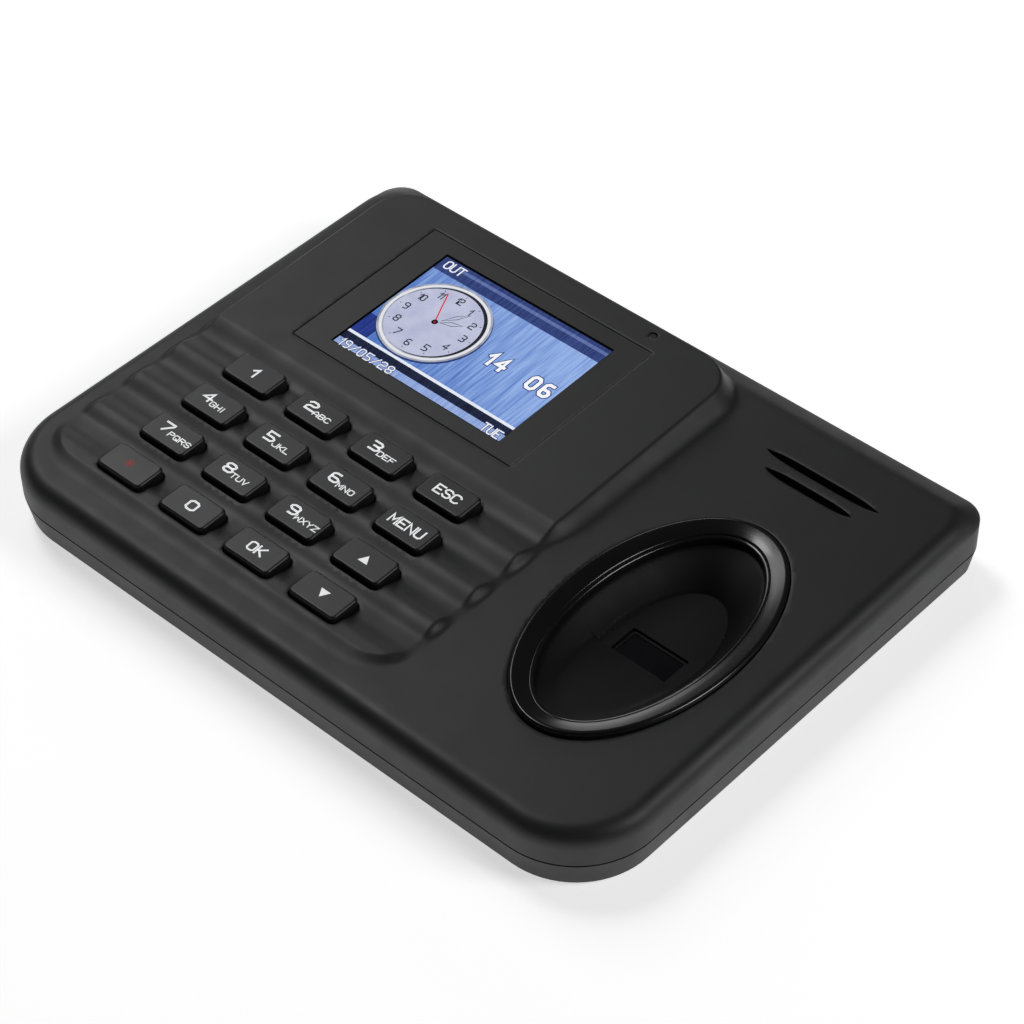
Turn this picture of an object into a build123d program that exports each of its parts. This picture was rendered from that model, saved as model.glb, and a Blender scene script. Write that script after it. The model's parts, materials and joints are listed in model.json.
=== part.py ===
"""Fingerprint time clock: desk or wall terminal with a screen, a keypad and a finger well.

Millimetres, +Z up. The origin is on the table, under the middle of the body.
"""

import math
import os

from build123d import *

# Body
body_width = 168.0
body_depth = 126.0
front_radius = 19.0
rear_radius = 6.5
foot_height = 1.0
wall = 2.0
floor_thickness = 1.8
cover_top = foot_height + 5.7
cover_taper = 10.0
seam_gap = 0.25
lip_height = 1.4
lip_thickness = 1.2
fit_gap = 0.15

# Deck: the top of the upper housing, which rises slightly to the rear
deck_height = 15.9
deck_tilt = 0.65
deck_fillet = 4.0

# Panel: the raised area with the screen and the keypad
panel_height = 18.3
panel_tilt = 2.14
panel_width = 99.0
panel_depth = 112.0
panel_x = -27.0
panel_y = 1.5
panel_corner = 10.0
panel_edge = 1.2

# Screen
lens_width = 63.4
lens_depth = 44.95
lens_thickness = 1.0
lens_x = -27.7
lens_y = 27.2
lens_gap = 0.15
gasket_thickness = 0.3
lcd_width = 60.3
lcd_depth = 42.1
lcd_thickness = 1.0
active_width = 48.96
active_depth = 36.72
active_x = -28.1
active_y = 28.0
backlight_thickness = 1.4
ledge_width = 1.2
pocket_skin = 2.5
light_x = 0.7
light_y = 54.0
light_radius = 0.9

# Keypad
key_columns = 4
key_rows = 4
key_pitch_x = 18.73
key_pitch_y = 12.0
first_key_x = -55.6
first_key_y = -10.3
key_width = 12.9
key_depth = 7.6
key_corner = 1.3
key_rise = 1.2
key_travel = 0.8
key_clearance = 0.3
key_edge = 0.6
flange_margin = 1.3
flange_top = 13.0
flange_thickness = 1.1
wave_crest_y = -1.1
wave_depth = 1.5
crest_drop = 0.12
wave_run_out = 3.0
wave_end_slope = 0.48
dome_gap = 0.2
mat_thickness = 0.8
mat_top = 9.6
keypad_board_thickness = 1.2
keypad_board_width = 84.0
keypad_board_depth = 51.0

# Finger well
well_x = 53.3
well_y = -8.4
ring_outer_x = 20.6
ring_outer_y = 35.1
ring_inner_x = 15.4
ring_inner_y = 29.8
ring_top = 16.7
ring_bottom = 13.6
well_skin = 1.5
well_floor = 7.4
well_floor_x = 10.0
well_floor_y = 18.5
well_floor_shift = 2.0
ramp_front_height = 13.0
ramp_rear_height = 9.2
ramp_front_y = -37.0
ramp_rear_y = -13.5
sensor_width = 14.4
sensor_depth = 8.6
sensor_y = -9.2
sensor_top = 6.8
sensor_glass = 0.9
sensor_module_bottom = 4.2
sensor_board_thickness = 1.0

# Speaker
speaker_x = 53.2
speaker_y = 43.4
speaker_radius = 14.0
magnet_radius = 7.5
slot_width = 1.7
rear_slot_length = 28.8
front_slot_length = 22.2
slot_pitch = 4.6
speaker_bottom = 9.4
speaker_depth = 4.8

# Boards and sockets
board_bottom = 5.5
board_thickness = 1.6
board_width = 86.0
board_depth = 50.0
board_x = -22.0
board_y = 32.5
usb_x = -2.0
usb_width = 13.1
usb_height = 5.8
usb_length = 14.0
jack_x = -30.0
jack_width = 9.0
jack_height = 6.6
jack_length = 13.0
jack_bore = 3.1
jack_depth = 10.5
jack_pin_radius = 1.0
jack_pin_length = 6.0
usb_tongue_length = 8.6
processor_spot = (-34.0, 34.0)
memory_spots = [(-16.0, 40.0), (-16.0, 31.0)]
cell_spot = (2.0, 30.0)
cell_radius = 6.2
display_connector_spot = (-34.0, 19.0)
keypad_connector_spot = (-4.0, 13.5)
sensor_connector_spot = (17.0, 22.0)
connector_width = 16.0
connector_depth = 4.5
connector_height = 2.4
ribbon_width = 12.0
ribbon_thickness = 0.3
usb_face_y = 61.2

# Fasteners and feet
post_radius = 3.2
screw_radius = 1.25
screw_head_radius = 2.6
case_screw_length = 9.6
small_screw_radius = 0.8
small_head_radius = 1.6
foot_radius = 5.0
foot_recess = 0.6
keyhole_spacing = 80.0
keyhole_y = 34.0

# Worked out from the values above
split_height = cover_top + seam_gap
floor_top = foot_height + floor_thickness
board_top = board_bottom + board_thickness
keypad_board_top = mat_top - mat_thickness
keypad_board_bottom = keypad_board_top - keypad_board_thickness
keypad_x = first_key_x + key_pitch_x * (key_columns - 1) / 2
keypad_y = first_key_y - key_pitch_y * (key_rows - 1) / 2
flange_bottom = flange_top - flange_thickness
dome_top = flange_bottom - key_travel - dome_gap
deck_slope = math.tan(math.radians(deck_tilt))
panel_slope = math.tan(math.radians(panel_tilt))
deck_plane = Plane((0, 0, deck_height), x_dir=(1, 0, 0), z_dir=(0, -deck_slope, 1))
panel_plane = Plane((0, 0, panel_height), x_dir=(1, 0, 0), z_dir=(0, -panel_slope, 1))
lens_spot = (lens_x, lens_y)
corner_post_x = body_width / 2 - 10.5
corner_post_y = body_depth / 2 - 11.5
middle_post_x = 28.0
middle_post_y = body_depth / 2 - 7.0
post_spots = [(x, y) for x in (-corner_post_x, corner_post_x) for y in (-corner_post_y, corner_post_y)]
post_spots += [(middle_post_x, y) for y in (-middle_post_y, middle_post_y)]
keypad_screw_spots = [
    (keypad_x + sx * (keypad_board_width / 2 - 3), keypad_y + sy * (keypad_board_depth / 2 - 3))
    for sx in (-1, 1)
    for sy in (-1, 1)
]
board_screw_spots = [
    (board_x + sx * (board_width / 2 - 4), board_y + sy * (board_depth / 2 - 4))
    for sx in (-1, 1)
    for sy in (-1, 1)
]
foot_spots = [(x, y) for x in (-56, 56) for y in (-50, 50)]
usb_center = board_top + usb_height / 2
jack_center = board_top + jack_height / 2
jack_face_y = body_depth / 2 - wall - 0.1
key_spots = [
    (first_key_x + column * key_pitch_x, first_key_y - row * key_pitch_y)
    for row in range(key_rows)
    for column in range(key_columns)
]
key_names = [
    "key_1", "key_2", "key_3", "key_esc",
    "key_4", "key_5", "key_6", "key_menu",
    "key_7", "key_8", "key_9", "key_up",
    "key_record", "key_0", "key_ok", "key_down",
]


def save(piece, name):
    """Label a finished piece and write it to the parts folder."""
    piece.part.label = name
    export_step(piece.part, f"parts/{name}.step")


def panel_surface(y):
    """Height of the panel's plane at a depth."""
    return panel_height + panel_slope * y


def body_outline(inset):
    """The body's plan outline, moved inwards."""
    with BuildSketch() as outline:
        Rectangle(body_width - 2 * inset, body_depth - 2 * inset)
        fillet(outline.vertices().group_by(Axis.Y)[0], front_radius - inset)
        fillet(outline.vertices().group_by(Axis.Y)[-1], rear_radius - inset)
    return outline.sketch


os.makedirs("parts", exist_ok=True)

outer_outline = body_outline(0)
inner_outline = body_outline(wall)
lip_outer_outline = body_outline(wall + fit_gap)
lip_inner_outline = body_outline(wall + fit_gap + lip_thickness)

# Upper housing -------------------------------------------------------------

# The wave above the keypad: four troughs that start at the flat panel and end in the deck
quarter = key_pitch_y / 4


def wave_point(y, drop):
    """A point of the wave's profile, a drop below the panel's plane."""
    return (y, panel_surface(y) - drop)


with BuildPart() as wave_cutter:
    with BuildSketch(Plane.YZ.offset(panel_x)):
        with BuildLine():
            slope_drop = crest_drop + wave_depth / 2
            last = wave_point(wave_crest_y - quarter, slope_drop)
            TangentArc(wave_point(wave_crest_y, 0), last, tangent=(-1, -panel_slope))
            for row in range(key_rows):
                trough_y = wave_crest_y - (row + 0.5) * key_pitch_y
                crest_y = trough_y - key_pitch_y / 2
                trough_end = wave_point(trough_y - quarter, slope_drop)
                ThreePointArc(last, wave_point(trough_y, crest_drop + wave_depth), trough_end)
                last = wave_point(crest_y - quarter, slope_drop)
                ThreePointArc(trough_end, wave_point(crest_y, crest_drop), last)
            Polyline(
                last,
                wave_point(last[0] - wave_run_out, slope_drop + wave_run_out * wave_end_slope),
                (last[0] - wave_run_out, 30),
                (wave_crest_y, 30),
                wave_point(wave_crest_y, 0),
            )
        make_face()
    extrude(amount=panel_width, both=True)

with BuildPart() as panel_block:
    with BuildSketch(Plane.XY.offset(split_height + 4)):
        with Locations((panel_x, panel_y)):
            RectangleRounded(panel_width, panel_depth, panel_corner)
    extrude(amount=20)
    split(bisect_by=panel_plane, keep=Keep.BOTTOM)
    fillet(panel_block.faces().sort_by(Axis.Z)[-1].edges(), panel_edge)
    add(wave_cutter.part, mode=Mode.SUBTRACT)

with BuildPart() as deck_hollow:
    with BuildSketch(Plane.XY.offset(split_height)):
        add(inner_outline)
    extrude(amount=20)
    split(bisect_by=deck_plane.offset(-wall), keep=Keep.BOTTOM)

with BuildPart() as screen_pocket:
    with BuildSketch(Plane.XY.offset(split_height)):
        with Locations(lens_spot):
            Rectangle(lens_width + 8, lens_depth + 4)
    extrude(amount=20)
    split(bisect_by=panel_plane.offset(-pocket_skin), keep=Keep.BOTTOM)

with BuildPart() as upper_housing:
    with BuildSketch(Plane.XY.offset(split_height)):
        add(outer_outline)
    extrude(amount=20)
    split(bisect_by=deck_plane, keep=Keep.BOTTOM)
    fillet(upper_housing.faces().sort_by(Axis.Z)[-1].edges(), deck_fillet)
    add(panel_block.part)
    add(deck_hollow.part, mode=Mode.SUBTRACT)
    add(screen_pocket.part, mode=Mode.SUBTRACT)
    # Recess and opening for the screen
    with BuildSketch(panel_plane.offset(-lens_thickness - 0.05)):
        with Locations(lens_spot):
            Rectangle(lens_width + 2 * lens_gap, lens_depth + 2 * lens_gap)
    extrude(amount=4, mode=Mode.SUBTRACT)
    with BuildSketch(panel_plane.offset(-5)):
        with Locations(lens_spot):
            Rectangle(lens_width - 2 * ledge_width, lens_depth - 2 * ledge_width)
    extrude(amount=8, mode=Mode.SUBTRACT)
    # Openings for the keys
    with BuildSketch(Plane.XY.offset(flange_top - 1)):
        with Locations(*key_spots):
            RectangleRounded(
                key_width + 2 * key_clearance,
                key_depth + 2 * key_clearance,
                key_corner + key_clearance,
            )
    extrude(amount=10, mode=Mode.SUBTRACT)
    # Seat of the finger ring, and the hole that the well hangs through
    with BuildSketch(Plane.XY.offset(ring_bottom + 0.9)):
        with Locations((well_x, well_y)):
            Ellipse(ring_outer_x + fit_gap, ring_outer_y + fit_gap)
    extrude(amount=6, mode=Mode.SUBTRACT)
    with BuildSketch(Plane.XY.offset(split_height)):
        with Locations((well_x, well_y)):
            Ellipse(ring_inner_x + 2.2, ring_inner_y + 2.2)
    extrude(amount=12, mode=Mode.SUBTRACT)
    # Sound slots
    with BuildSketch(Plane.XY.offset(deck_height - 4)):
        with Locations((speaker_x, speaker_y + slot_pitch / 2)):
            SlotOverall(rear_slot_length, slot_width)
        with Locations((speaker_x, speaker_y - slot_pitch / 2)):
            SlotOverall(front_slot_length, slot_width)
    extrude(amount=8, mode=Mode.SUBTRACT)
    # Hole for the status light
    with BuildSketch(panel_plane.offset(-6)):
        with Locations((light_x, light_y)):
            Circle(light_radius + 0.1)
    extrude(amount=10, mode=Mode.SUBTRACT)
    # Rear sockets
    with BuildSketch(Plane.XZ.offset(-body_depth / 2 - 1)):
        with Locations((usb_x, usb_center)):
            Rectangle(usb_width + 0.5, usb_height + 0.4)
        with Locations((jack_x, jack_center)):
            Circle(jack_bore + 0.1)
    extrude(amount=wall + 3, mode=Mode.SUBTRACT)
    # Posts for the case screws
    with BuildSketch(Plane.XY.offset(split_height)):
        with Locations(*post_spots):
            Circle(post_radius)
    extrude(amount=deck_height - 1.1 - split_height)
    with BuildSketch(Plane.XY.offset(split_height)):
        with Locations(*post_spots):
            Circle(screw_radius + 0.05)
    extrude(amount=5.6, mode=Mode.SUBTRACT)
    # Posts for the keypad board
    with BuildSketch(Plane.XY.offset(keypad_board_top)):
        with Locations(*keypad_screw_spots):
            Circle(2.4)
    extrude(amount=deck_height - wall - keypad_board_top)
    with BuildSketch(Plane.XY.offset(keypad_board_top)):
        with Locations(*keypad_screw_spots):
            Circle(small_screw_radius + 0.05)
    extrude(amount=3.8, mode=Mode.SUBTRACT)
    # Ring that holds the speaker
    with BuildSketch(Plane.XY.offset(speaker_bottom)):
        with Locations((speaker_x, speaker_y)):
            Circle(speaker_radius + fit_gap + 1.2)
            Circle(speaker_radius + fit_gap, mode=Mode.SUBTRACT)
    extrude(amount=deck_height - 1.2 - speaker_bottom)
save(upper_housing, "upper_housing")

# Lower cover ---------------------------------------------------------------

with BuildPart() as lower_cover:
    with BuildSketch(Plane.XY.offset(cover_top)):
        add(outer_outline)
    extrude(amount=foot_height - cover_top, taper=cover_taper)
    with BuildSketch(Plane.XY.offset(floor_top)):
        add(inner_outline)
    extrude(amount=cover_top - floor_top, mode=Mode.SUBTRACT)
    # Lip that reaches up inside the housing
    with BuildSketch(Plane.XY.offset(floor_top)):
        add(lip_outer_outline)
        add(lip_inner_outline, mode=Mode.SUBTRACT)
    extrude(amount=cover_top + lip_height - floor_top)
    with BuildSketch(Plane.XY.offset(floor_top)):
        add(inner_outline)
        add(lip_inner_outline, mode=Mode.SUBTRACT)
    extrude(amount=cover_top - floor_top)
    # Gaps in the lip for the sockets
    with BuildSketch(Plane.XY.offset(cover_top)):
        with Locations((usb_x, body_depth / 2 - 3)):
            Rectangle(usb_width + 2, 6)
        with Locations((jack_x, body_depth / 2 - 3)):
            Rectangle(jack_width + 2, 6)
    extrude(amount=lip_height, mode=Mode.SUBTRACT)
    # Bosses for the case screws
    with BuildSketch(Plane.XY.offset(foot_height)):
        with Locations(*post_spots):
            Circle(post_radius + 0.6)
    extrude(amount=cover_top - foot_height)
    with BuildSketch(Plane.XY.offset(foot_height)):
        with Locations(*post_spots):
            Circle(screw_radius + 0.3)
    extrude(amount=cover_top - foot_height, mode=Mode.SUBTRACT)
    with BuildSketch(Plane.XY.offset(foot_height)):
        with Locations(*post_spots):
            Circle(screw_head_radius + 0.4)
    extrude(amount=2.2, mode=Mode.SUBTRACT)
    # Standoffs for the main board
    with BuildSketch(Plane.XY.offset(floor_top)):
        with Locations(*board_screw_spots):
            Circle(2.6)
            Circle(small_screw_radius + 0.05, mode=Mode.SUBTRACT)
    extrude(amount=board_bottom - floor_top)
    # Recesses for the feet, and keyholes for wall screws
    with BuildSketch(Plane.XY.offset(foot_height)):
        with Locations(*foot_spots):
            Circle(foot_radius + fit_gap)
    extrude(amount=foot_recess, mode=Mode.SUBTRACT)
    with BuildSketch(Plane.XY.offset(foot_height)):
        with Locations((-keyhole_spacing / 2, keyhole_y), (keyhole_spacing / 2, keyhole_y)):
            SlotOverall(11, 4.4, rotation=90)
        with Locations((-keyhole_spacing / 2, keyhole_y - 5), (keyhole_spacing / 2, keyhole_y - 5)):
            Circle(4.2)
    extrude(amount=floor_thickness, mode=Mode.SUBTRACT)
save(lower_cover, "lower_cover")

with BuildPart() as rubber_feet:
    with BuildSketch():
        with Locations(*foot_spots):
            Circle(foot_radius)
    extrude(amount=foot_height + foot_recess)
    fillet(rubber_feet.faces().group_by(Axis.Z)[0].edges(), 0.5)
save(rubber_feet, "rubber_feet")

# Screen --------------------------------------------------------------------

with BuildPart() as display_lens:
    with BuildSketch(panel_plane.offset(-lens_thickness)):
        with Locations(lens_spot):
            Rectangle(lens_width, lens_depth)
    extrude(amount=lens_thickness)
    chamfer(display_lens.faces().sort_by(Axis.Z)[-1].edges(), 0.15)
save(display_lens, "display_lens")

with BuildPart() as lens_gasket:
    with BuildSketch(panel_plane.offset(-lens_thickness - gasket_thickness)):
        with Locations(lens_spot):
            Rectangle(lcd_width, lcd_depth)
        with Locations((active_x, active_y)):
            Rectangle(active_width + 1, active_depth + 1, mode=Mode.SUBTRACT)
    extrude(amount=gasket_thickness)
save(lens_gasket, "lens_gasket")

lcd_top = lens_thickness + gasket_thickness
with BuildPart() as lcd_panel:
    with BuildSketch(panel_plane.offset(-lcd_top - lcd_thickness)):
        with Locations(lens_spot):
            Rectangle(lcd_width, lcd_depth)
    extrude(amount=lcd_thickness)
save(lcd_panel, "lcd_panel")

backlight_bottom = lcd_top + lcd_thickness + backlight_thickness
with BuildPart() as backlight:
    with BuildSketch(panel_plane.offset(-backlight_bottom)):
        with Locations(lens_spot):
            RectangleRounded(lcd_width, lcd_depth, 0.6)
    extrude(amount=backlight_thickness)
save(backlight, "backlight")

with BuildPart() as status_light:
    with BuildSketch(panel_plane.offset(-4.5)):
        with Locations((light_x, light_y)):
            Circle(light_radius)
    extrude(amount=4.3)
    fillet(status_light.faces().sort_by(Axis.Z)[-1].edges(), 0.2)
save(status_light, "status_light")

# Keypad --------------------------------------------------------------------

for name, (key_x, key_y) in zip(key_names, key_spots):
    with BuildPart() as key:
        with BuildSketch(Plane.XY.offset(flange_top)):
            with Locations((key_x, key_y)):
                RectangleRounded(key_width, key_depth, key_corner)
        extrude(amount=10)
        split(bisect_by=panel_plane.offset(key_rise), keep=Keep.BOTTOM)
        fillet(key.faces().sort_by(Axis.Z)[-1].edges(), key_edge)
        with BuildSketch(Plane.XY.offset(flange_bottom)):
            with Locations((key_x, key_y)):
                RectangleRounded(key_width + 2 * flange_margin, key_depth + 2 * flange_margin, key_corner)
        extrude(amount=flange_thickness)
    save(key, name)

with BuildPart() as keypad_mat:
    with BuildSketch(Plane.XY.offset(keypad_board_top)):
        with Locations((keypad_x, keypad_y)):
            RectangleRounded(keypad_board_width - 12, keypad_board_depth - 5, 2)
    extrude(amount=mat_thickness)
    with BuildSketch(Plane.XY.offset(mat_top)):
        with Locations(*key_spots):
            Circle(3)
    extrude(amount=dome_top - mat_top, taper=12)
    with BuildSketch(Plane.XY.offset(keypad_board_top)):
        with Locations(*key_spots):
            Circle(2.2)
    extrude(amount=0.6, mode=Mode.SUBTRACT)
save(keypad_mat, "keypad_mat")

with BuildPart() as keypad_board:
    with BuildSketch(Plane.XY.offset(keypad_board_bottom)):
        with Locations((keypad_x, keypad_y)):
            RectangleRounded(keypad_board_width, keypad_board_depth, 2)
        with Locations(*keypad_screw_spots):
            Circle(small_screw_radius + 0.2, mode=Mode.SUBTRACT)
    extrude(amount=keypad_board_thickness)
save(keypad_board, "keypad_board")

# Finger well ---------------------------------------------------------------

with BuildPart() as finger_ring:
    with BuildSketch(Plane.XY.offset(ring_bottom + 1)):
        with Locations((well_x, well_y)):
            Ellipse(ring_outer_x, ring_outer_y)
    extrude(amount=ring_top - ring_bottom - 1)
    fillet(finger_ring.faces().sort_by(Axis.Z)[-1].edges(), 1.2)
    with BuildSketch(Plane.XY.offset(ring_bottom)):
        with Locations((well_x, well_y)):
            Ellipse(ring_inner_x + 2, ring_inner_y + 2)
    extrude(amount=2)
    with BuildSketch(Plane.XY.offset(ring_bottom)):
        with Locations((well_x, well_y)):
            Ellipse(ring_inner_x, ring_inner_y)
    extrude(amount=6, mode=Mode.SUBTRACT)
    inner_rim = finger_ring.faces().filter_by(GeomType.PLANE).sort_by(Axis.Z)[-1].inner_wires()[0]
    fillet(inner_rim.edges(), 2)
save(finger_ring, "finger_ring")

with BuildPart() as finger_space:
    with BuildSketch(Plane.XY.offset(ring_bottom)):
        with Locations((well_x, well_y)):
            Ellipse(ring_inner_x - 0.2, ring_inner_y - 0.2)
    with BuildSketch(Plane.XY.offset(well_floor)):
        with Locations((well_x, well_y + well_floor_shift)):
            Ellipse(well_floor_x, well_floor_y)
    loft()
    ramp_slope = (ramp_front_height - ramp_rear_height) / (ramp_rear_y - ramp_front_y)
    ramp_plane = Plane(
        (well_x, ramp_rear_y, ramp_rear_height),
        x_dir=(1, 0, 0),
        z_dir=(0, ramp_slope, 1),
    )
    split(bisect_by=ramp_plane, keep=Keep.TOP)
    with BuildSketch(Plane.XY.offset(sensor_top)):
        with Locations((well_x, sensor_y)):
            RectangleRounded(sensor_width, sensor_depth, 0.6)
    extrude(amount=4)

with BuildPart() as finger_well:
    with BuildSketch(Plane.XY.offset(ring_bottom - 0.05)):
        with Locations((well_x, well_y)):
            Ellipse(ring_inner_x + 1.9, ring_inner_y + 1.9)
    with BuildSketch(Plane.XY.offset(well_floor - well_skin)):
        with Locations((well_x, well_y + well_floor_shift)):
            Ellipse(well_floor_x + 1.2, well_floor_y + 1.2)
    loft()
    add(finger_space.part, mode=Mode.SUBTRACT)
    with BuildSketch(Plane.XY.offset(well_floor - well_skin - 1)):
        with Locations((well_x, sensor_y)):
            Rectangle(sensor_width - 1.6, sensor_depth - 1.6)
    extrude(amount=4, mode=Mode.SUBTRACT)
save(finger_well, "finger_well")

sensor_spot = (well_x, sensor_y)
with BuildPart() as sensor_window:
    with BuildSketch(Plane.XY.offset(sensor_top - sensor_glass)):
        with Locations(sensor_spot):
            Rectangle(sensor_width - 1.8, sensor_depth - 1.8)
    extrude(amount=sensor_glass - 0.1)
save(sensor_window, "sensor_window")

with BuildPart() as sensor_module:
    with BuildSketch(Plane.XY.offset(sensor_module_bottom)):
        with Locations(sensor_spot):
            Rectangle(sensor_width + 4, sensor_depth + 4)
    extrude(amount=sensor_top - sensor_glass - sensor_module_bottom)
save(sensor_module, "sensor_module")

with BuildPart() as sensor_board:
    with BuildSketch(Plane.XY.offset(sensor_module_bottom - sensor_board_thickness)):
        with Locations(sensor_spot):
            Rectangle(sensor_width + 8, sensor_depth + 12)
    extrude(amount=sensor_board_thickness)
save(sensor_board, "sensor_board")

# Speaker -------------------------------------------------------------------

with BuildPart() as speaker_frame:
    with BuildSketch(Plane.XY.offset(speaker_bottom)):
        with Locations((speaker_x, speaker_y)):
            Circle(speaker_radius)
    extrude(amount=speaker_depth)
    with BuildSketch(Plane.XY.offset(speaker_bottom + 1)):
        with Locations((speaker_x, speaker_y)):
            Circle(speaker_radius - 1.4)
    extrude(amount=speaker_depth, taper=-4, mode=Mode.SUBTRACT)
    with BuildSketch(Plane.XY.offset(speaker_bottom)):
        with Locations((speaker_x, speaker_y)):
            Circle(magnet_radius + 0.1)
    extrude(amount=1, mode=Mode.SUBTRACT)
save(speaker_frame, "speaker_frame")

with BuildPart() as speaker_cone:
    cone_top = speaker_bottom + speaker_depth - 0.4
    with BuildSketch(Plane.XZ.offset(-speaker_y)):
        with BuildLine():
            Polyline(
                (speaker_x, cone_top - 1.6),
                (speaker_x + 5, cone_top - 1.8),
                (speaker_x + 10.5, cone_top - 0.4),
                (speaker_x + speaker_radius - 1.7, cone_top - 0.4),
                (speaker_x + speaker_radius - 1.7, cone_top - 0.1),
                (speaker_x + 10.4, cone_top - 0.1),
                (speaker_x + 5, cone_top - 1.4),
                (speaker_x, cone_top - 1.2),
                close=True,
            )
        make_face()
    revolve(axis=Axis((speaker_x, speaker_y, 0), (0, 0, 1)))
save(speaker_cone, "speaker_cone")

with BuildPart() as speaker_magnet:
    with BuildSketch(Plane.XY.offset(speaker_bottom - 2.2)):
        with Locations((speaker_x, speaker_y)):
            Circle(magnet_radius)
    extrude(amount=3.2)
    chamfer(speaker_magnet.faces().sort_by(Axis.Z)[0].edges(), 0.3)
save(speaker_magnet, "speaker_magnet")

# Main board and what is on it ----------------------------------------------

with BuildPart() as main_board:
    with BuildSketch(Plane.XY.offset(board_bottom)):
        with Locations((board_x, board_y)):
            Rectangle(board_width, board_depth)
        with Locations(*board_screw_spots):
            Circle(small_screw_radius + 0.2, mode=Mode.SUBTRACT)
    extrude(amount=board_thickness)
save(main_board, "main_board")

with BuildPart() as processor:
    with BuildSketch(Plane.XY.offset(board_top)):
        with Locations(processor_spot):
            Rectangle(14, 14)
    extrude(amount=1.4)
    chamfer(processor.faces().sort_by(Axis.Z)[-1].edges(), 0.15)
save(processor, "processor")

with BuildPart() as memory_chips:
    with BuildSketch(Plane.XY.offset(board_top)):
        with Locations(*memory_spots):
            Rectangle(8, 5.2)
    extrude(amount=1.1)
save(memory_chips, "memory_chips")

with BuildPart() as cell_holder:
    with BuildSketch(Plane.XY.offset(board_top)):
        with Locations(cell_spot):
            RectangleRounded(16, 15, 2)
    extrude(amount=3.4)
    with BuildSketch(Plane.XY.offset(board_top + 0.8)):
        with Locations(cell_spot):
            Circle(cell_radius + fit_gap)
    extrude(amount=3, mode=Mode.SUBTRACT)
save(cell_holder, "cell_holder")

with BuildPart() as coin_cell:
    with BuildSketch(Plane.XY.offset(board_top + 0.8)):
        with Locations(cell_spot):
            Circle(cell_radius)
    extrude(amount=2)
    fillet(coin_cell.edges().group_by(Axis.Z)[0], 0.3)
save(coin_cell, "coin_cell")

with BuildPart() as ribbon_connectors:
    with BuildSketch(Plane.XY.offset(board_top)):
        with Locations(display_connector_spot, keypad_connector_spot):
            Rectangle(connector_width, connector_depth)
    extrude(amount=connector_height)
    with BuildSketch(Plane.XY.offset(board_top + 0.8)):
        with Locations(display_connector_spot, keypad_connector_spot):
            with Locations((0, -connector_depth / 2 + 1)):
                Rectangle(ribbon_width + 0.3, 2)
    extrude(amount=0.6, mode=Mode.SUBTRACT)
save(ribbon_connectors, "ribbon_connectors")

with BuildPart() as sensor_connector:
    with BuildSketch(Plane.XY.offset(board_top)):
        with Locations(sensor_connector_spot):
            Rectangle(4, 10)
    extrude(amount=connector_height)
save(sensor_connector, "sensor_connector")

with BuildPart() as usb_port:
    with BuildSketch(Plane.XZ.offset(-usb_face_y)):
        with Locations((usb_x, usb_center)):
            Rectangle(usb_width, usb_height)
    extrude(amount=usb_length)
    with BuildSketch(Plane.XZ.offset(-usb_face_y)):
        with Locations((usb_x, usb_center)):
            Rectangle(usb_width - 0.7, usb_height - 0.7)
    extrude(amount=usb_length - 1, mode=Mode.SUBTRACT)
save(usb_port, "usb_port")

with BuildPart() as usb_tongue:
    with BuildSketch(Plane.XZ.offset(-usb_face_y + usb_length - 1)):
        with Locations((usb_x, usb_center + usb_height / 2 - 0.35 - 0.95)):
            Rectangle(usb_width - 1.4, 1.8)
    extrude(amount=-usb_tongue_length)
save(usb_tongue, "usb_tongue")

with BuildPart() as power_jack:
    with BuildSketch(Plane.XZ.offset(-jack_face_y)):
        with Locations((jack_x, jack_center)):
            Rectangle(jack_width, jack_height)
    extrude(amount=jack_length)
    with BuildSketch(Plane.XZ.offset(-jack_face_y)):
        with Locations((jack_x, jack_center)):
            Circle(jack_bore)
    extrude(amount=jack_depth, mode=Mode.SUBTRACT)
save(power_jack, "power_jack")

with BuildPart() as power_pin:
    with BuildSketch(Plane.XZ.offset(-jack_face_y + jack_depth)):
        with Locations((jack_x, jack_center)):
            Circle(jack_pin_radius)
    extrude(amount=-jack_pin_length)
    fillet(power_pin.faces().sort_by(Axis.Y)[-1].edges(), 0.4)
save(power_pin, "power_pin")

# Ribbons and cable ---------------------------------------------------------

with BuildPart() as display_ribbon:
    with BuildSketch(Plane.YZ.offset(display_connector_spot[0])):
        with BuildLine() as display_route:
            Polyline(
                (display_connector_spot[1] - connector_depth / 2 + 1.8, board_top + 1.1),
                (display_connector_spot[1] - connector_depth / 2 - 4, board_top + 1.1),
                (display_connector_spot[1] - connector_depth / 2 - 6, board_top + 3.2),
                (lens_y - lcd_depth / 2 + 2, panel_surface(0) - backlight_bottom - 0.9),
                (lens_y - lcd_depth / 2 + 7, panel_surface(6) - backlight_bottom - 0.4),
            )
            offset(amount=ribbon_thickness / 2)
        make_face()
    extrude(amount=ribbon_width / 2, both=True)
save(display_ribbon, "display_ribbon")

with BuildPart() as keypad_ribbon:
    with BuildSketch(Plane.YZ.offset(keypad_connector_spot[0])):
        with BuildLine() as keypad_route:
            Polyline(
                (keypad_connector_spot[1] - connector_depth / 2 + 1.8, board_top + 1.1),
                (keypad_connector_spot[1] - connector_depth / 2 - 2.5, board_top + 1.1),
                (keypad_y + keypad_board_depth / 2 - 1, keypad_board_bottom - 0.3),
                (keypad_y + keypad_board_depth / 2 - 6, keypad_board_bottom - 0.3),
            )
            offset(amount=ribbon_thickness / 2)
        make_face()
    extrude(amount=ribbon_width / 2, both=True)
save(keypad_ribbon, "keypad_ribbon")

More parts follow.
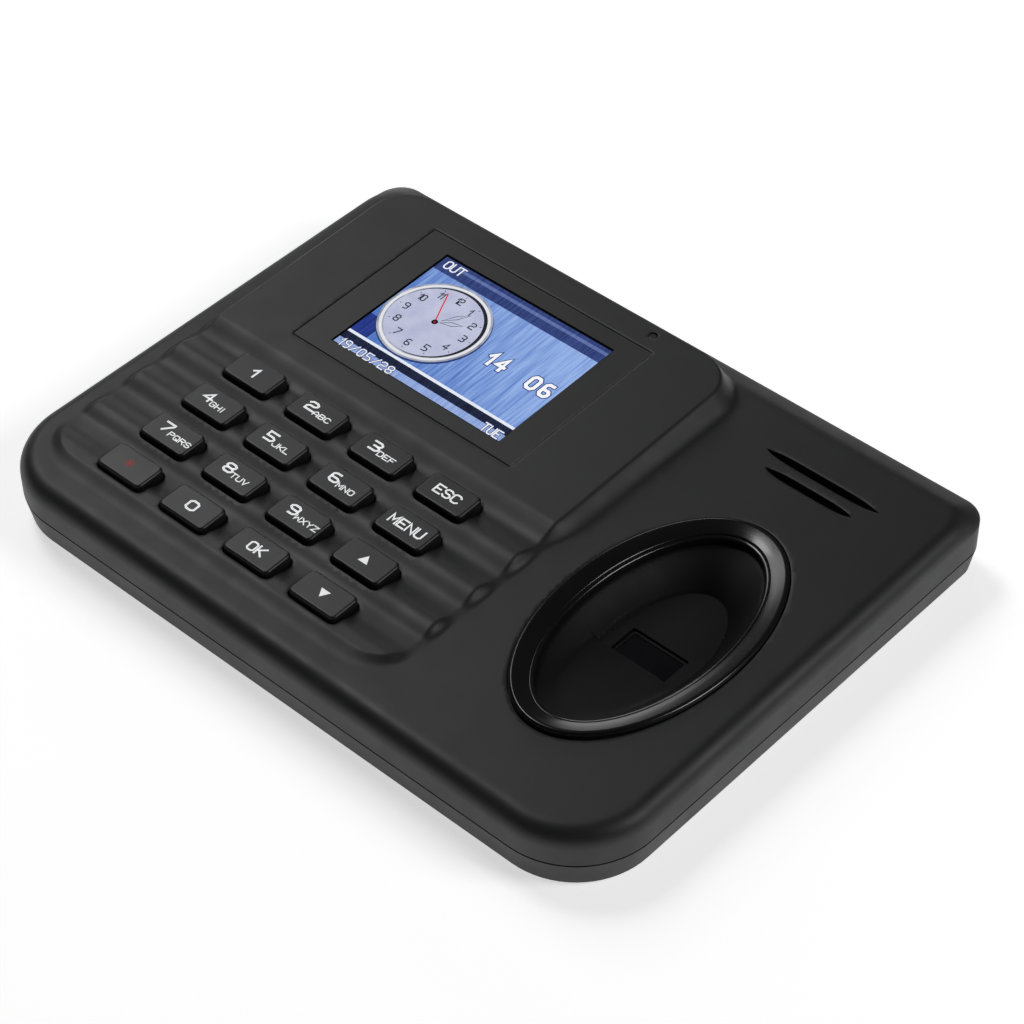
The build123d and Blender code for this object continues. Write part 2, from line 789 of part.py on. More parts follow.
with BuildPart() as sensor_cable:
    with BuildLine() as sensor_route:
        Spline(
            (sensor_connector_spot[0] + 2.1, sensor_connector_spot[1], board_top + 1.3),
            (sensor_connector_spot[0] + 5.5, sensor_connector_spot[1] - 0.5, board_top + 0.9),
            (well_x - sensor_width / 2 - 17, sensor_y + 20, floor_top + 1.6),
            (well_x - sensor_width / 2 - 4.2, sensor_y + 2, sensor_module_bottom - 0.5),
            tangents=[(1, 0, 0), (1, 0, 0)],
        )
    with BuildSketch(Plane(sensor_route.line @ 0, z_dir=sensor_route.line % 0)):
        RectangleRounded(1.2, 1.2, 0.5)
    sweep()
save(sensor_cable, "sensor_cable")

# Screws --------------------------------------------------------------------

with BuildPart() as case_screws:
    with BuildSketch(Plane.XY.offset(foot_height + 0.4)):
        with Locations(*post_spots):
            Circle(screw_head_radius)
    extrude(amount=1.8)
    with BuildSketch(Plane.XY.offset(foot_height + 0.4)):
        with Locations(*post_spots):
            Circle(screw_radius)
    extrude(amount=case_screw_length)
    with BuildSketch(Plane.XY.offset(foot_height + 0.4)):
        with Locations(*post_spots):
            Rectangle(3.2, 0.7)
            Rectangle(0.7, 3.2)
    extrude(amount=0.9, mode=Mode.SUBTRACT)
save(case_screws, "case_screws")

with BuildPart() as board_screws:
    with BuildSketch(Plane.XY.offset(board_top)):
        with Locations(*board_screw_spots):
            Circle(small_head_radius)
    extrude(amount=1.1)
    with BuildSketch(Plane.XY.offset(board_top)):
        with Locations(*board_screw_spots):
            Circle(small_screw_radius)
    extrude(amount=-3.4)
    with BuildSketch(Plane.XY.offset(board_top + 1.1)):
        with Locations(*board_screw_spots):
            Rectangle(2, 0.5)
            Rectangle(0.5, 2)
    extrude(amount=-0.6, mode=Mode.SUBTRACT)
save(board_screws, "board_screws")

with BuildPart() as keypad_screws:
    with BuildSketch(Plane.XY.offset(keypad_board_bottom)):
        with Locations(*keypad_screw_spots):
            Circle(small_head_radius)
    extrude(amount=-1.1)
    with BuildSketch(Plane.XY.offset(keypad_board_bottom)):
        with Locations(*keypad_screw_spots):
            Circle(small_screw_radius)
    extrude(amount=4.6)
    with BuildSketch(Plane.XY.offset(keypad_board_bottom - 1.1)):
        with Locations(*keypad_screw_spots):
            Rectangle(2, 0.5)
            Rectangle(0.5, 2)
    extrude(amount=0.6, mode=Mode.SUBTRACT)
save(keypad_screws, "keypad_screws")
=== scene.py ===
import json
import math
from functools import partial

import bmesh
import bpy
import numpy as np
from mathutils import Matrix, Vector
from mathutils.geometry import delaunay_2d_cdt
from mathutils.kdtree import KDTree


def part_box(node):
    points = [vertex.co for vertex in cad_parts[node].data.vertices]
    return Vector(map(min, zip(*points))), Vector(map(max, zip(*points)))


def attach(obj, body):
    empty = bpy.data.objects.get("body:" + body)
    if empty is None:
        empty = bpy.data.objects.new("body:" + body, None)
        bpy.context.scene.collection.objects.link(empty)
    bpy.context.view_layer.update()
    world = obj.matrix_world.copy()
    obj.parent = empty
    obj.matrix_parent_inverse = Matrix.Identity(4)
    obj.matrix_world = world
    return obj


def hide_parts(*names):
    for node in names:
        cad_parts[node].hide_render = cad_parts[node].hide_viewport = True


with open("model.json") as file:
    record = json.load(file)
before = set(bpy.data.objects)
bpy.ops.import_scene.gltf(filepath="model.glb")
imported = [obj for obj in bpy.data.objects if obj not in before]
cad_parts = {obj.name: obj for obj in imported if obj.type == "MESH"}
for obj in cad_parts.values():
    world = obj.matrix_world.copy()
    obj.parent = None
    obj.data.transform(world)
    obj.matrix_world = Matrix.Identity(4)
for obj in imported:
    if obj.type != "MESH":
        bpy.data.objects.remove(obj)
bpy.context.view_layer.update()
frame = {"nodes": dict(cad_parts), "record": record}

MM = 0.001

# Shapes are worked out in millimetres and become metres in Net.piece.


def box_mm(node):
    """A CAD node's lowest and highest corners in millimetres."""
    low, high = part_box(node)
    return low / MM, high / MM


def middle(node):
    """The middle of a CAD node in plan, in millimetres."""
    low, high = box_mm(node)
    return ((low.x + high.x) / 2, (low.y + high.y) / 2)


# Body and deck --------------------------------------------------------------

BODY_LOW, BODY_HIGH = box_mm("upper_housing")
HALF_WIDTH = BODY_HIGH.x
HALF_DEPTH = BODY_HIGH.y
SPLIT = BODY_LOW.z
WALL = 2.0
FRONT_RADIUS = 19.0
REAR_RADIUS = 6.5
DECK_HEIGHT = 15.9
DECK_SLOPE = math.tan(math.radians(0.65))
CEILING_SKIN = 2.0
FRONT_ROLL = 4.0
REAR_ROLL = 10.0
REAR_ROLL_DROP = 2.75
REAR_ROLL_START = 51.0
ROLL_RISE = (2.0, 1.7)
ROLL_FALL = (0.5, 0.8)
SEAM_CHAMFER = 0.12

# Panel and the waves over the keypad
PANEL_HEIGHT = 18.3
PANEL_SLOPE = math.tan(math.radians(2.14))
PANEL_X = -27.0
PANEL_Y = 1.5
PANEL_HALF_WIDTH = 49.5
PANEL_HALF_DEPTH = 56.0
PANEL_CORNER = 10.0
EDGE_REACH = 0.55
EDGE_REACH_FRONT = 2.6
FOOT_REACH = 1.8
FOOT_REACH_RIGHT = 2.6
FOOT_REACH_FRONT = -0.6
EDGE_SHARPNESS = 1.35
FOOT_SOFTNESS = 2.1
WAVE_CREST = -1.1
WAVE_PITCH = 12.0
WAVE_COUNT = 4
WAVE_START = 0.12
WAVE_DEPTH = 1.5
CREST_DROP = 0.12
FLANK_START = -8.0
FLANK_RUN = 12.0
TROUGH_CLEARANCE = 0.12
TROUGH_SOFTNESS = 0.25


def panel_plane(y):
    """Height of the panel's plane, which rises towards the rear."""
    return PANEL_HEIGHT + PANEL_SLOPE * y


def deck_plane(y):
    """Height of the deck's plane."""
    return DECK_HEIGHT + DECK_SLOPE * y


def ceiling(x, y):
    """Height of the housing's inner face, the same all along x."""
    return deck_plane(y) - CEILING_SKIN


def smooth_step(t):
    t = np.clip(t, 0, 1)
    return t * t * (3 - 2 * t)


def rounded_distance(x, y, half_x, half_y, radius):
    """Distance outside a rounded rectangle, and the direction of its nearest side."""
    qx = np.abs(x) - half_x + radius
    qy = np.abs(y) - half_y + radius
    corner_x = np.maximum(qx, 0)
    corner_y = np.maximum(qy, 0)
    reach = np.hypot(corner_x, corner_y)
    inside = np.minimum(np.maximum(qx, qy), 0)
    safe = np.maximum(reach, 1e-9)
    along_x = np.where(reach > 0, corner_x / safe, qx > qy) * np.sign(x)
    along_y = np.where(reach > 0, corner_y / safe, qx <= qy) * np.sign(y)
    return reach + inside - radius, along_x, along_y


def wave_drop(y):
    """How far the waves lie below the panel's plane."""
    phase = (WAVE_CREST - y) / WAVE_PITCH
    wave = CREST_DROP + WAVE_DEPTH * (1 - np.cos(2 * math.pi * phase)) / 2
    into_first = smooth_step(phase / WAVE_START)
    return np.where((phase > 0) & (phase < WAVE_COUNT), wave, CREST_DROP) * into_first


def body_distance(x, y):
    """Distance outside the body's plan outline."""
    radius = np.where(y < 0, FRONT_RADIUS, REAR_RADIUS)
    return rounded_distance(x, y, HALF_WIDTH, HALF_DEPTH, radius)[0]


def surface(x, y):
    """Height of the housing's top over the whole plan."""
    x = np.asarray(x, float)
    y = np.asarray(y, float)
    outside = body_distance(x, y)
    rear = smooth_step((y - REAR_ROLL_START) / (HALF_DEPTH - REAR_ROLL_START))
    roll = FRONT_ROLL + (REAR_ROLL - FRONT_ROLL) * rear
    roll_drop = FRONT_ROLL + (REAR_ROLL_DROP - FRONT_ROLL) * rear
    rise = ROLL_RISE[0] + (ROLL_RISE[1] - ROLL_RISE[0]) * rear
    fall = ROLL_FALL[0] + (ROLL_FALL[1] - ROLL_FALL[0]) * rear
    t = np.clip((roll + outside) / roll, 0, 1)
    deck = deck_plane(y) - roll_drop * (1 - (1 - t**rise) ** fall)
    step, along_x, along_y = rounded_distance(
        x - PANEL_X, y - PANEL_Y, PANEL_HALF_WIDTH, PANEL_HALF_DEPTH, PANEL_CORNER
    )
    front = np.maximum(-along_y, 0) ** 2
    right = np.maximum(along_x, 0) ** 2
    before = EDGE_REACH + EDGE_REACH_FRONT * front
    flank = smooth_step((y - FLANK_START) / FLANK_RUN)
    after = FOOT_REACH + FOOT_REACH_RIGHT * right * flank + FOOT_REACH_FRONT * front
    u = np.clip((step + before) / (before + after), 0, 1)
    share = (1 - u**EDGE_SHARPNESS) ** FOOT_SOFTNESS

    # The troughs stay a little above the deck, with a soft turn where they come near it.
    above = panel_plane(y) - wave_drop(y) - deck_plane(y) - TROUGH_CLEARANCE
    above = TROUGH_CLEARANCE + (above + np.sqrt(above * above + TROUGH_SOFTNESS**2)) / 2
    return deck + (deck_plane(y) + above - deck) * share


# Mesh building --------------------------------------------------------------

PLAN = (0, 1)
UPRIGHT = (0, 2)
MERGE_DISTANCE = 1e-6


def inside_loop(points, loop):
    """Which of the points lie inside a closed loop, by counting crossings."""
    x, y = points.T
    crossings = np.zeros(len(points), int)
    for (x1, y1), (x2, y2) in zip(loop, loop[1:] + loop[:1]):
        if y1 != y2:
            spans = (y1 > y) != (y2 > y)
            crossings += spans & (x < x1 + (y - y1) * (x2 - x1) / (y2 - y1))
    return crossings % 2 == 1


class Net:
    """Vertices and faces of one piece, in millimetres."""

    def __init__(self):
        self.vertices = []
        self.faces = []

    def loop(self, points):
        """New vertices, in a row or a ring. Gives their numbers."""
        start = len(self.vertices)
        self.vertices.extend(tuple(map(float, p)) for p in points)
        return list(range(start, len(self.vertices)))

    def bridge(self, first, second, closed=True):
        """Quads between two rows of the same length."""
        count = len(first)
        for i in range(count if closed else count - 1):
            j = (i + 1) % count
            self.faces.append((first[i], first[j], second[j], second[i]))

    def stack(self, loops):
        """Quads through a row of loops."""
        for first, second in zip(loops, loops[1:]):
            self.bridge(first, second)

    def fill(self, loops, points, place, flat=PLAN):
        """Triangles inside the first loop and outside the others, through the points."""
        a, b = flat
        owners = [i for loop in loops for i in loop]
        flats = [Vector((self.vertices[i][a], self.vertices[i][b])) for i in owners]
        edges = []
        start = 0
        for loop in loops:
            count = len(loop)
            edges += [(start + k, start + (k + 1) % count) for k in range(count)]
            start += count
        flats += [Vector(p) for p in points]
        coords, _, faces, origins, _, _ = delaunay_2d_cdt(flats, edges, [], 0, MERGE_DISTANCE, True)
        corners = np.array([tuple(c) for c in coords])
        centers = corners[np.array(faces)].mean(axis=1)
        hollow = np.zeros(len(faces), bool)
        for loop in loops[1:]:
            flat_loop = [(self.vertices[i][a], self.vertices[i][b]) for i in loop]
            hollow |= inside_loop(centers, flat_loop)
        new = {}
        for face in (face for face, empty in zip(faces, hollow) if not empty):
            for k in face:
                if k in new:
                    continue
                owned = [o for o in origins[k] if o < len(owners)]
                if owned:
                    new[k] = owners[owned[0]]
                else:
                    new[k] = len(self.vertices)
                    self.vertices.append(place(coords[k][0], coords[k][1]))
            self.faces.append(tuple(new[k] for k in face))

    def piece(self, name, material, body="terminal", sharp=32):
        """The finished Blender object, which rides on a body."""
        mesh = bpy.data.meshes.new(name)
        mesh.from_pydata([tuple(c * MM for c in v) for v in self.vertices], [], self.faces)
        work = bmesh.new()
        work.from_mesh(mesh)
        bmesh.ops.recalc_face_normals(work, faces=work.faces)
        work.to_mesh(mesh)
        work.free()
        mesh.shade_smooth()
        mesh.set_sharp_from_angle(angle=math.radians(sharp))
        mesh.materials.append(material)
        piece = bpy.data.objects.new(name, mesh)
        bpy.context.scene.collection.objects.link(piece)
        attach(piece, body)
        return piece


# Steps along an outline's straight sides and round its corners
BODY_STEPS = (120, 100)
BODY_TURN = 24
PANEL_STEPS = (130, 170)
PANEL_TURN = 28
LEAST_RADIUS = 0.05


def clear_of(points, loops, gap):
    """The points that are further than a gap from every point of the loops."""
    near = [p for loop in loops for p in loop]
    tree = KDTree(len(near))
    for i, p in enumerate(near):
        tree.insert((p[0], p[1], 0), i)
    tree.balance()
    return [p for p in points if tree.find((p[0], p[1], 0))[2] > gap]


def ellipse(center, half_x, half_y, count=180):
    """An ellipse's points, counterclockwise."""
    turns = [2 * math.pi * k / count for k in range(count)]
    return [(center[0] + half_x * math.cos(t), center[1] + half_y * math.sin(t)) for t in turns]


def spindle(center, length, width, count=30):
    """A slot whose ends are drawn out to points."""
    top = []
    for k in range(count):
        s = -1 + 2 * k / count
        top.append((s * length / 2, width / 2 * (1 - abs(s) ** 5)))
    points = top + [(-x, -y) for x, y in top]
    return [(center[0] + x, center[1] + y) for x, y in reversed(points)]


def rounded(low_x, low_y, high_x, high_y, radii, straight=(10, 10), turn=6):
    """A rounded rectangle's points, counterclockwise from its lower right corner."""
    corners = [
        (high_x, low_y, 1, -1), (high_x, high_y, 1, 1), (low_x, high_y, -1, 1), (low_x, low_y, -1, -1),
    ]
    arcs = []
    for side, ((x, y, sx, sy), radius) in enumerate(zip(corners, radii)):
        x, y = x - sx * radius, y - sy * radius
        angles = [math.radians(90 * (side - 1) + 90 * k / turn) for k in range(turn + 1)]
        arcs.append([(x + radius * math.cos(angle), y + radius * math.sin(angle)) for angle in angles])
    points = []
    for side, arc in enumerate(arcs):
        end = arcs[(side + 1) % 4][0]
        count = straight[1 - side % 2]
        points += arc
        for k in range(1, count):
            t = k / count
            points.append(tuple(a + (b - a) * t for a, b in zip(arc[-1], end)))
    return points


def body_outline(inset):
    """The body's plan outline, or one inside it."""
    front = max(FRONT_RADIUS - inset, LEAST_RADIUS)
    rear = max(REAR_RADIUS - inset, LEAST_RADIUS)
    x, y = HALF_WIDTH - inset, HALF_DEPTH - inset
    return rounded(-x, -y, x, y, (front, rear, rear, front), BODY_STEPS, BODY_TURN)


def panel_outline(offset):
    """The raised panel's plan outline, moved outwards by an offset."""
    x, y = PANEL_HALF_WIDTH + offset, PANEL_HALF_DEPTH + offset
    corners = (PANEL_CORNER + offset,) * 4
    return rounded(PANEL_X - x, PANEL_Y - y, PANEL_X + x, PANEL_Y + y, corners, PANEL_STEPS, PANEL_TURN)


def grid(low_x, high_x, step_x, low_y, high_y, step_y):
    """Points in staggered rows."""
    points = []
    for row in range(int((high_y - low_y) / step_y) + 1):
        shift = step_x / 2 if row % 2 else 0
        for column in range(int((high_x - low_x - shift) / step_x) + 1):
            points.append((low_x + shift + column * step_x, low_y + row * step_y))
    return points


# Materials ------------------------------------------------------------------

NOISE_SPAN = (0.3, 0.7)
COLOR_PATCHES = 60
ROUGHNESS_PATCHES = 140
STREAK_SCALE = 5
STREAK_SPAN = (0.3, 0.72)


def put(node, **values):
    """Values for a node's inputs, with low lines for the spaces in their names."""
    for name, value in values.items():
        node.inputs[name.replace("_", " ")].default_value = value


def add(tree, kind, operation=None, **values):
    """A new shader node."""
    node = tree.nodes.new("ShaderNode" + kind)
    if operation:
        node.operation = operation
    put(node, **values)
    return node


def join(tree, source, output, target, socket):
    """A link from one node's output to another's input."""
    tree.links.new(source.outputs[output], target.inputs[socket])


def color_ramp(tree, span, colors):
    """A ramp between two colours, over a part of its input's range."""
    ramp = add(tree, "ValToRGB")
    for stop, position, color in zip(ramp.color_ramp.elements, span, colors):
        stop.position = position
        stop.color = (*color, 1)
    return ramp


def new_material(name, **values):
    """A node material. Gives its tree and its shader too."""
    material = bpy.data.materials.new(name)
    material.use_nodes = True
    shader = material.node_tree.nodes["Principled BSDF"]
    put(shader, **values)
    return material, material.node_tree, shader


def grain(tree, shader, scale, distance):
    """Fine moulded texture from noise, as bump."""
    place = add(tree, "TexCoord")
    noise = add(tree, "TexNoise", Scale=scale, Detail=3)
    bump = add(tree, "Bump", Distance=distance, Strength=1)
    join(tree, place, "Object", noise, "Vector")
    join(tree, noise, "Fac", bump, "Height")
    join(tree, bump, "Normal", shader, "Normal")
    return place


def vary(tree, shader, place, socket, scale, low, high):
    """A slow change of a colour or a number over the surface."""
    noise = add(tree, "TexNoise", Scale=scale, Detail=4)
    join(tree, place, "Object", noise, "Vector")
    if isinstance(low, tuple):
        ramp = color_ramp(tree, NOISE_SPAN, (low, high))
        join(tree, noise, "Fac", ramp, "Fac")
        join(tree, ramp, "Color", shader, socket)
    else:
        start, stop = NOISE_SPAN
        spread = add(tree, "MapRange", From_Min=start, From_Max=stop, To_Min=low, To_Max=high)
        join(tree, noise, "Fac", spread, "Value")
        join(tree, spread, "Result", shader, socket)


def stuff(name, color, roughness, grain_size, grain_depth, change=0.15, specular=0.5, metallic=0.0):
    """A moulded, cast or rolled material: colour and roughness vary a little over fine grain.

    The grain's size and depth are in millimetres.
    """
    material, tree, shader = new_material(name, Specular_IOR_Level=specular, Metallic=metallic)
    place = grain(tree, shader, 1 / (grain_size * MM), grain_depth * MM)
    low = tuple(c * (1 - change) for c in color)
    high = tuple(min(1, c * (1 + change)) for c in color)
    vary(tree, shader, place, "Base Color", COLOR_PATCHES, low, high)
    vary(tree, shader, place, "Roughness", ROUGHNESS_PATCHES, roughness * 0.93, min(1, roughness * 1.07))
    return material


def ink(name, color, glow):
    """Printed ink, with a little light of its own so that it reads as in the photo."""
    material = stuff(name, color, 0.55, 0.12, 0.002, change=0.05)
    shader = material.node_tree.nodes["Principled BSDF"]
    put(shader, Emission_Color=(*color, 1), Emission_Strength=glow)
    return material


def clear_plastic():
    """The clear middle of the screen window, with the faintest haze."""
    material, tree, shader = new_material(
        "clear_window", Base_Color=(0.97, 0.98, 1, 1), Transmission_Weight=1, IOR=1.45, Specular_IOR_Level=0
    )
    vary(tree, shader, add(tree, "TexCoord"), "Roughness", 90, 0.0, 0.02)
    return material


def glowing(name, dark, bright, scale=(400, 30, 30), turn=35, rise=0.0):
    """A lit picture element: faint brushed streaks, and light that may rise towards the right."""
    material, tree, shader = new_material(
        name, Base_Color=(0, 0, 0, 1), Roughness=0.4, Specular_IOR_Level=0, Emission_Strength=1
    )
    place = add(tree, "TexCoord")
    mapping = add(tree, "Mapping", Rotation=(0, 0, math.radians(turn)), Scale=scale)
    noise = add(tree, "TexNoise", Scale=STREAK_SCALE, Detail=6)
    ramp = color_ramp(tree, STREAK_SPAN, (dark, bright))
    along = add(tree, "VectorMath", "DOT_PRODUCT")
    along.inputs[1].default_value = (rise, rise, 0)
    total = add(tree, "Math", "ADD")
    join(tree, place, "Object", mapping, "Vector")
    join(tree, mapping, "Vector", noise, "Vector")
    join(tree, place, "Object", along, 0)
    join(tree, noise, "Fac", total, 0)
    join(tree, along, "Value", total, 1)
    join(tree, total, "Value", ramp, "Fac")
    join(tree, ramp, "Color", shader, "Emission Color")
    return material


# For each slot: colour, roughness, the grain's size and depth, and what differs from plain plastic.
FINISHES = {
    "black_housing": ((0.013, 0.0132, 0.014), 0.5, 0.22, 0.012, {"change": 0.04}),
    "black_cover": ((0.013, 0.0132, 0.014), 0.52, 0.22, 0.012, {"change": 0.05}),
    "black_keys": ((0.009, 0.0092, 0.01), 0.42, 0.18, 0.006, {"change": 0.05}),
    "gloss_ring": ((0.008, 0.008, 0.0085), 0.2, 1.5, 0.002, {}),
    # The well's liner: black plastic set darker than the housing's black, with painted shade of the deep
    # recess.
    "dark_well": ((0.0032, 0.0032, 0.0034), 0.58, 0.2, 0.008, {"specular": 0.22}),
    "smoked_lens": ((0.012, 0.0122, 0.013), 0.45, 0.3, 0.003, {"change": 0.04}),
    "lcd_glass": ((0.01, 0.012, 0.02), 0.12, 0.6, 0.001, {}),
    "backlight_frame": ((0.75, 0.75, 0.72), 0.45, 0.3, 0.004, {}),
    "black_foam": ((0.004, 0.004, 0.004), 0.95, 0.15, 0.05, {"specular": 0.1}),
    "light_diffuser": ((0.02, 0.02, 0.021), 0.35, 0.3, 0.003, {}),
    "grey_silicone": ((0.23, 0.23, 0.24), 0.6, 0.25, 0.008, {}),
    "green_board": ((0.01, 0.09, 0.035), 0.35, 0.5, 0.006, {"change": 0.3}),
    "chip_black": ((0.015, 0.015, 0.016), 0.45, 0.15, 0.006, {}),
    "sensor_glass": ((0.006, 0.006, 0.008), 0.06, 0.8, 0.0005, {}),
    "sensor_case": ((0.02, 0.02, 0.021), 0.5, 0.2, 0.006, {}),
    "speaker_case": ((0.012, 0.012, 0.012), 0.55, 0.2, 0.008, {}),
    "paper_cone": ((0.01, 0.01, 0.01), 0.85, 0.12, 0.02, {"change": 0.3}),
    "magnet_steel": ((0.5, 0.5, 0.51), 0.35, 0.15, 0.003, {"metallic": 1.0}),
    "holder_plastic": ((0.6, 0.58, 0.5), 0.5, 0.25, 0.006, {}),
    "cell_steel": ((0.62, 0.62, 0.63), 0.25, 0.1, 0.002, {"metallic": 1.0}),
    "connector_white": ((0.7, 0.69, 0.64), 0.45, 0.25, 0.004, {}),
    "socket_steel": ((0.55, 0.55, 0.56), 0.3, 0.12, 0.003, {"metallic": 1.0}),
    "tongue_black": ((0.012, 0.012, 0.012), 0.45, 0.2, 0.004, {}),
    "jack_black": ((0.012, 0.012, 0.012), 0.45, 0.2, 0.004, {}),
    "contact_metal": ((0.75, 0.72, 0.62), 0.22, 0.1, 0.001, {"metallic": 1.0}),
    "ribbon_film": ((0.55, 0.3, 0.07), 0.3, 0.6, 0.004, {}),
    "cable_grey": ((0.3, 0.3, 0.3), 0.55, 0.2, 0.006, {}),
    "screw_steel": ((0.45, 0.45, 0.46), 0.32, 0.1, 0.003, {"metallic": 1.0}),
    "foot_rubber": ((0.018, 0.018, 0.018), 0.85, 0.12, 0.02, {"specular": 0.25}),
}


def make_materials():
    """One material for each slot of the record, two inks with a painted glow and the clear window."""
    materials = {}
    for name, (color, roughness, size, depth, changes) in FINISHES.items():
        materials[name] = stuff(name, color, roughness, size, depth, **changes)
    # Both inks carry a painted glow, brighter than their lighting alone makes them.
    materials["white_ink_glow"] = ink("white_ink_glow", (0.86, 0.87, 0.88), 0.45)
    materials["red_ink_glow"] = ink("red_ink_glow", (0.3, 0.018, 0.015), 0.12)
    materials["clear_window"] = clear_plastic()
    return materials


def dress_nodes(materials):
    """Each CAD node takes the material of its slot in the record."""
    for part in frame["record"]["subparts"]:
        node = frame["nodes"][part["node"]]
        node.data.materials.clear()
        node.data.materials.append(materials[part["material_slot"]])


# Housing --------------------------------------------------------------------

FLANGE_MARGIN = 1.3
KEY_CORNER = 1.3
KEY_CLEARANCE = 0.3
LENS_GAP = 0.15
LENS_CORNER = 0.25
LENS_THICKNESS = 1.0
LEDGE = 1.2
LEDGE_GAP = 0.06
RING_SEAT = 14.5
RING_OUTER = (20.75, 35.25)
WELL_HOLE = (17.6, 32.0)
SLOT_PITCH = 4.6
SLOT_WIDTH = 1.9
SLOT_LENGTHS = (22.2, 28.8)
LIGHT_HOLE = 1.0
JACK_HOLE = 3.0
USB_CORNER = 0.4
USB_GAP_SIDE = 0.25
USB_GAP_BELOW = 0.08
USB_GAP_ABOVE = 0.2
REAR_STRETCH = (-42, 12)
WELL_CENTER = middle("finger_ring")
ON_PLANE = 1e-6

# How far each opening's rounded rim reaches, at its top and at its middle
KEY_RIM = (0.3, 0.09)
LENS_RIM = (0.12, 0.04)
RING_RIM = (0.2, 0.06)
LIGHT_RIM = (0.15, 0.04)

# Points that carry the housing's curved top between its openings
ROLL_ANGLES = range(14, 91, 9)
ROLL_INSETS = (0.03, 4.6, 5.4, 6.4)
PANEL_RINGS = [0.35 * k for k in range(-11, 11)]
FIELD = (-80.5, 80.5, 1.15, -59.5, 59.5, 1.0)
FIELD_MARGIN = 3.5
WAVE_LEFT = PANEL_X - PANEL_HALF_WIDTH - 1
WAVE_RIGHT = PANEL_X + PANEL_HALF_WIDTH + 3
WAVE_FRONT = -55.5
WAVE_REAR = 1.0
WAVE_STEPS = (1.1, 0.45)
FIELD_TO_RING = 0.5
WAVE_TO_RING = 0.28
POINT_TO_EDGE = 0.24

KEY_NODES = [name for name in frame["nodes"] if name.startswith("key_")]


def key_hole(name, offset):
    """The outline of a key's hole, which is a little larger than the key's cap."""
    low, high = box_mm(name)
    inset = FLANGE_MARGIN - KEY_CLEARANCE - offset
    corners = (KEY_CORNER + KEY_CLEARANCE + offset,) * 4
    return rounded(low.x + inset, low.y + inset, high.x - inset, high.y - inset, corners, (14, 16), 6)


def lens_hole(offset):
    """The window's outline, moved outwards by an offset."""
    low, high = box_mm("display_lens")
    corners = (LENS_CORNER + max(offset, 0),) * 4
    sides = (low.x - offset, low.y - offset, high.x + offset, high.y + offset)
    return rounded(*sides, corners, (40, 40), 4)


def opening(net, outline_at, rim, below):
    """An opening through the housing: its rounded rim, its wall and any steps below.

    outline_at gives the outline at an offset, and below lists each next outline with its height.
    """
    top, half = rim
    loops = []
    for offset, drop in ((top, 0), (half, half), (0, top)):
        x, y = np.array(outline_at(offset)).T
        loops.append(net.loop(np.column_stack((x, y, surface(x, y) - drop))))
    for outline, height in below:
        x, y = np.array(outline).T
        z = height(x, y) if callable(height) else np.full(len(x), height)
        loops.append(net.loop(np.column_stack((x, y, z))))
    net.stack(loops)
    return loops[0], loops[-1]


def lens_ledge(x, y):
    """Height of the ledge that the window lies on."""
    return panel_plane(y) - LENS_THICKNESS - LEDGE_GAP


def housing_openings(net):
    """Every opening of the housing, as its top and bottom loops."""
    found = []
    for name in KEY_NODES:
        found.append(opening(net, partial(key_hole, name), KEY_RIM, [(key_hole(name, 0), ceiling)]))
    inner = lens_hole(-LEDGE)
    steps = [(lens_hole(LENS_GAP), lens_ledge), (inner, lens_ledge), (inner, ceiling)]
    found.append(opening(net, lambda offset: lens_hole(LENS_GAP + offset), LENS_RIM, steps))

    def ring_seat(offset):
        return ellipse(WELL_CENTER, RING_OUTER[0] + offset, RING_OUTER[1] + offset)

    hole = ellipse(WELL_CENTER, *WELL_HOLE)
    steps = [(ring_seat(0), RING_SEAT), (hole, RING_SEAT), (hole, ceiling)]
    found.append(opening(net, ring_seat, RING_RIM, steps))
    x, y = middle("speaker_frame")
    for side, length in zip((-0.5, 0.5), SLOT_LENGTHS):
        spot = (x, y + side * SLOT_PITCH)

        def slot(offset):
            return spindle(spot, length + 2 * offset, SLOT_WIDTH + 2 * offset)

        found.append(opening(net, slot, KEY_RIM, [(slot(0), ceiling)]))

    def light_hole(offset):
        return ellipse(middle("status_light"), LIGHT_HOLE + offset, LIGHT_HOLE + offset, 32)

    found.append(opening(net, light_hole, LIGHT_RIM, [(light_hole(0), ceiling)]))
    return found


def socket_holes(net, y):
    """The outlines of the two rear sockets on a plane across the depth."""
    low, high = box_mm("usb_port")
    left, right = low.x - USB_GAP_SIDE, high.x + USB_GAP_SIDE
    usb = rounded(left, low.z + USB_GAP_BELOW, right, high.z + USB_GAP_ABOVE, (USB_CORNER,) * 4, (6, 4), 3)
    low, high = box_mm("power_jack")
    jack = ellipse(((low.x + high.x) / 2, (low.z + high.z) / 2), JACK_HOLE, JACK_HOLE, 48)
    return [net.loop([(x, y, z) for x, z in hole]) for hole in (usb, jack)]


def skirt(net, top, bottom, y):
    """The wall between two loops, with the socket holes in its rear stretch."""
    left, right = REAR_STRETCH
    rear = [i for i, k in enumerate(top) if abs(net.vertices[k][1] - y) < ON_PLANE]
    rear = [i for i in rear if left < net.vertices[top[i]][0] < right]
    first, last = rear[0], rear[-1]
    for i in range(len(top)):
        if first <= i < last:
            continue
        j = (i + 1) % len(top)
        net.faces.append((top[i], top[j], bottom[j], bottom[i]))
    border = [top[i] for i in rear] + [bottom[i] for i in reversed(rear)]
    holes = socket_holes(net, y)
    net.fill([border] + holes, [], None, UPRIGHT)
    return holes


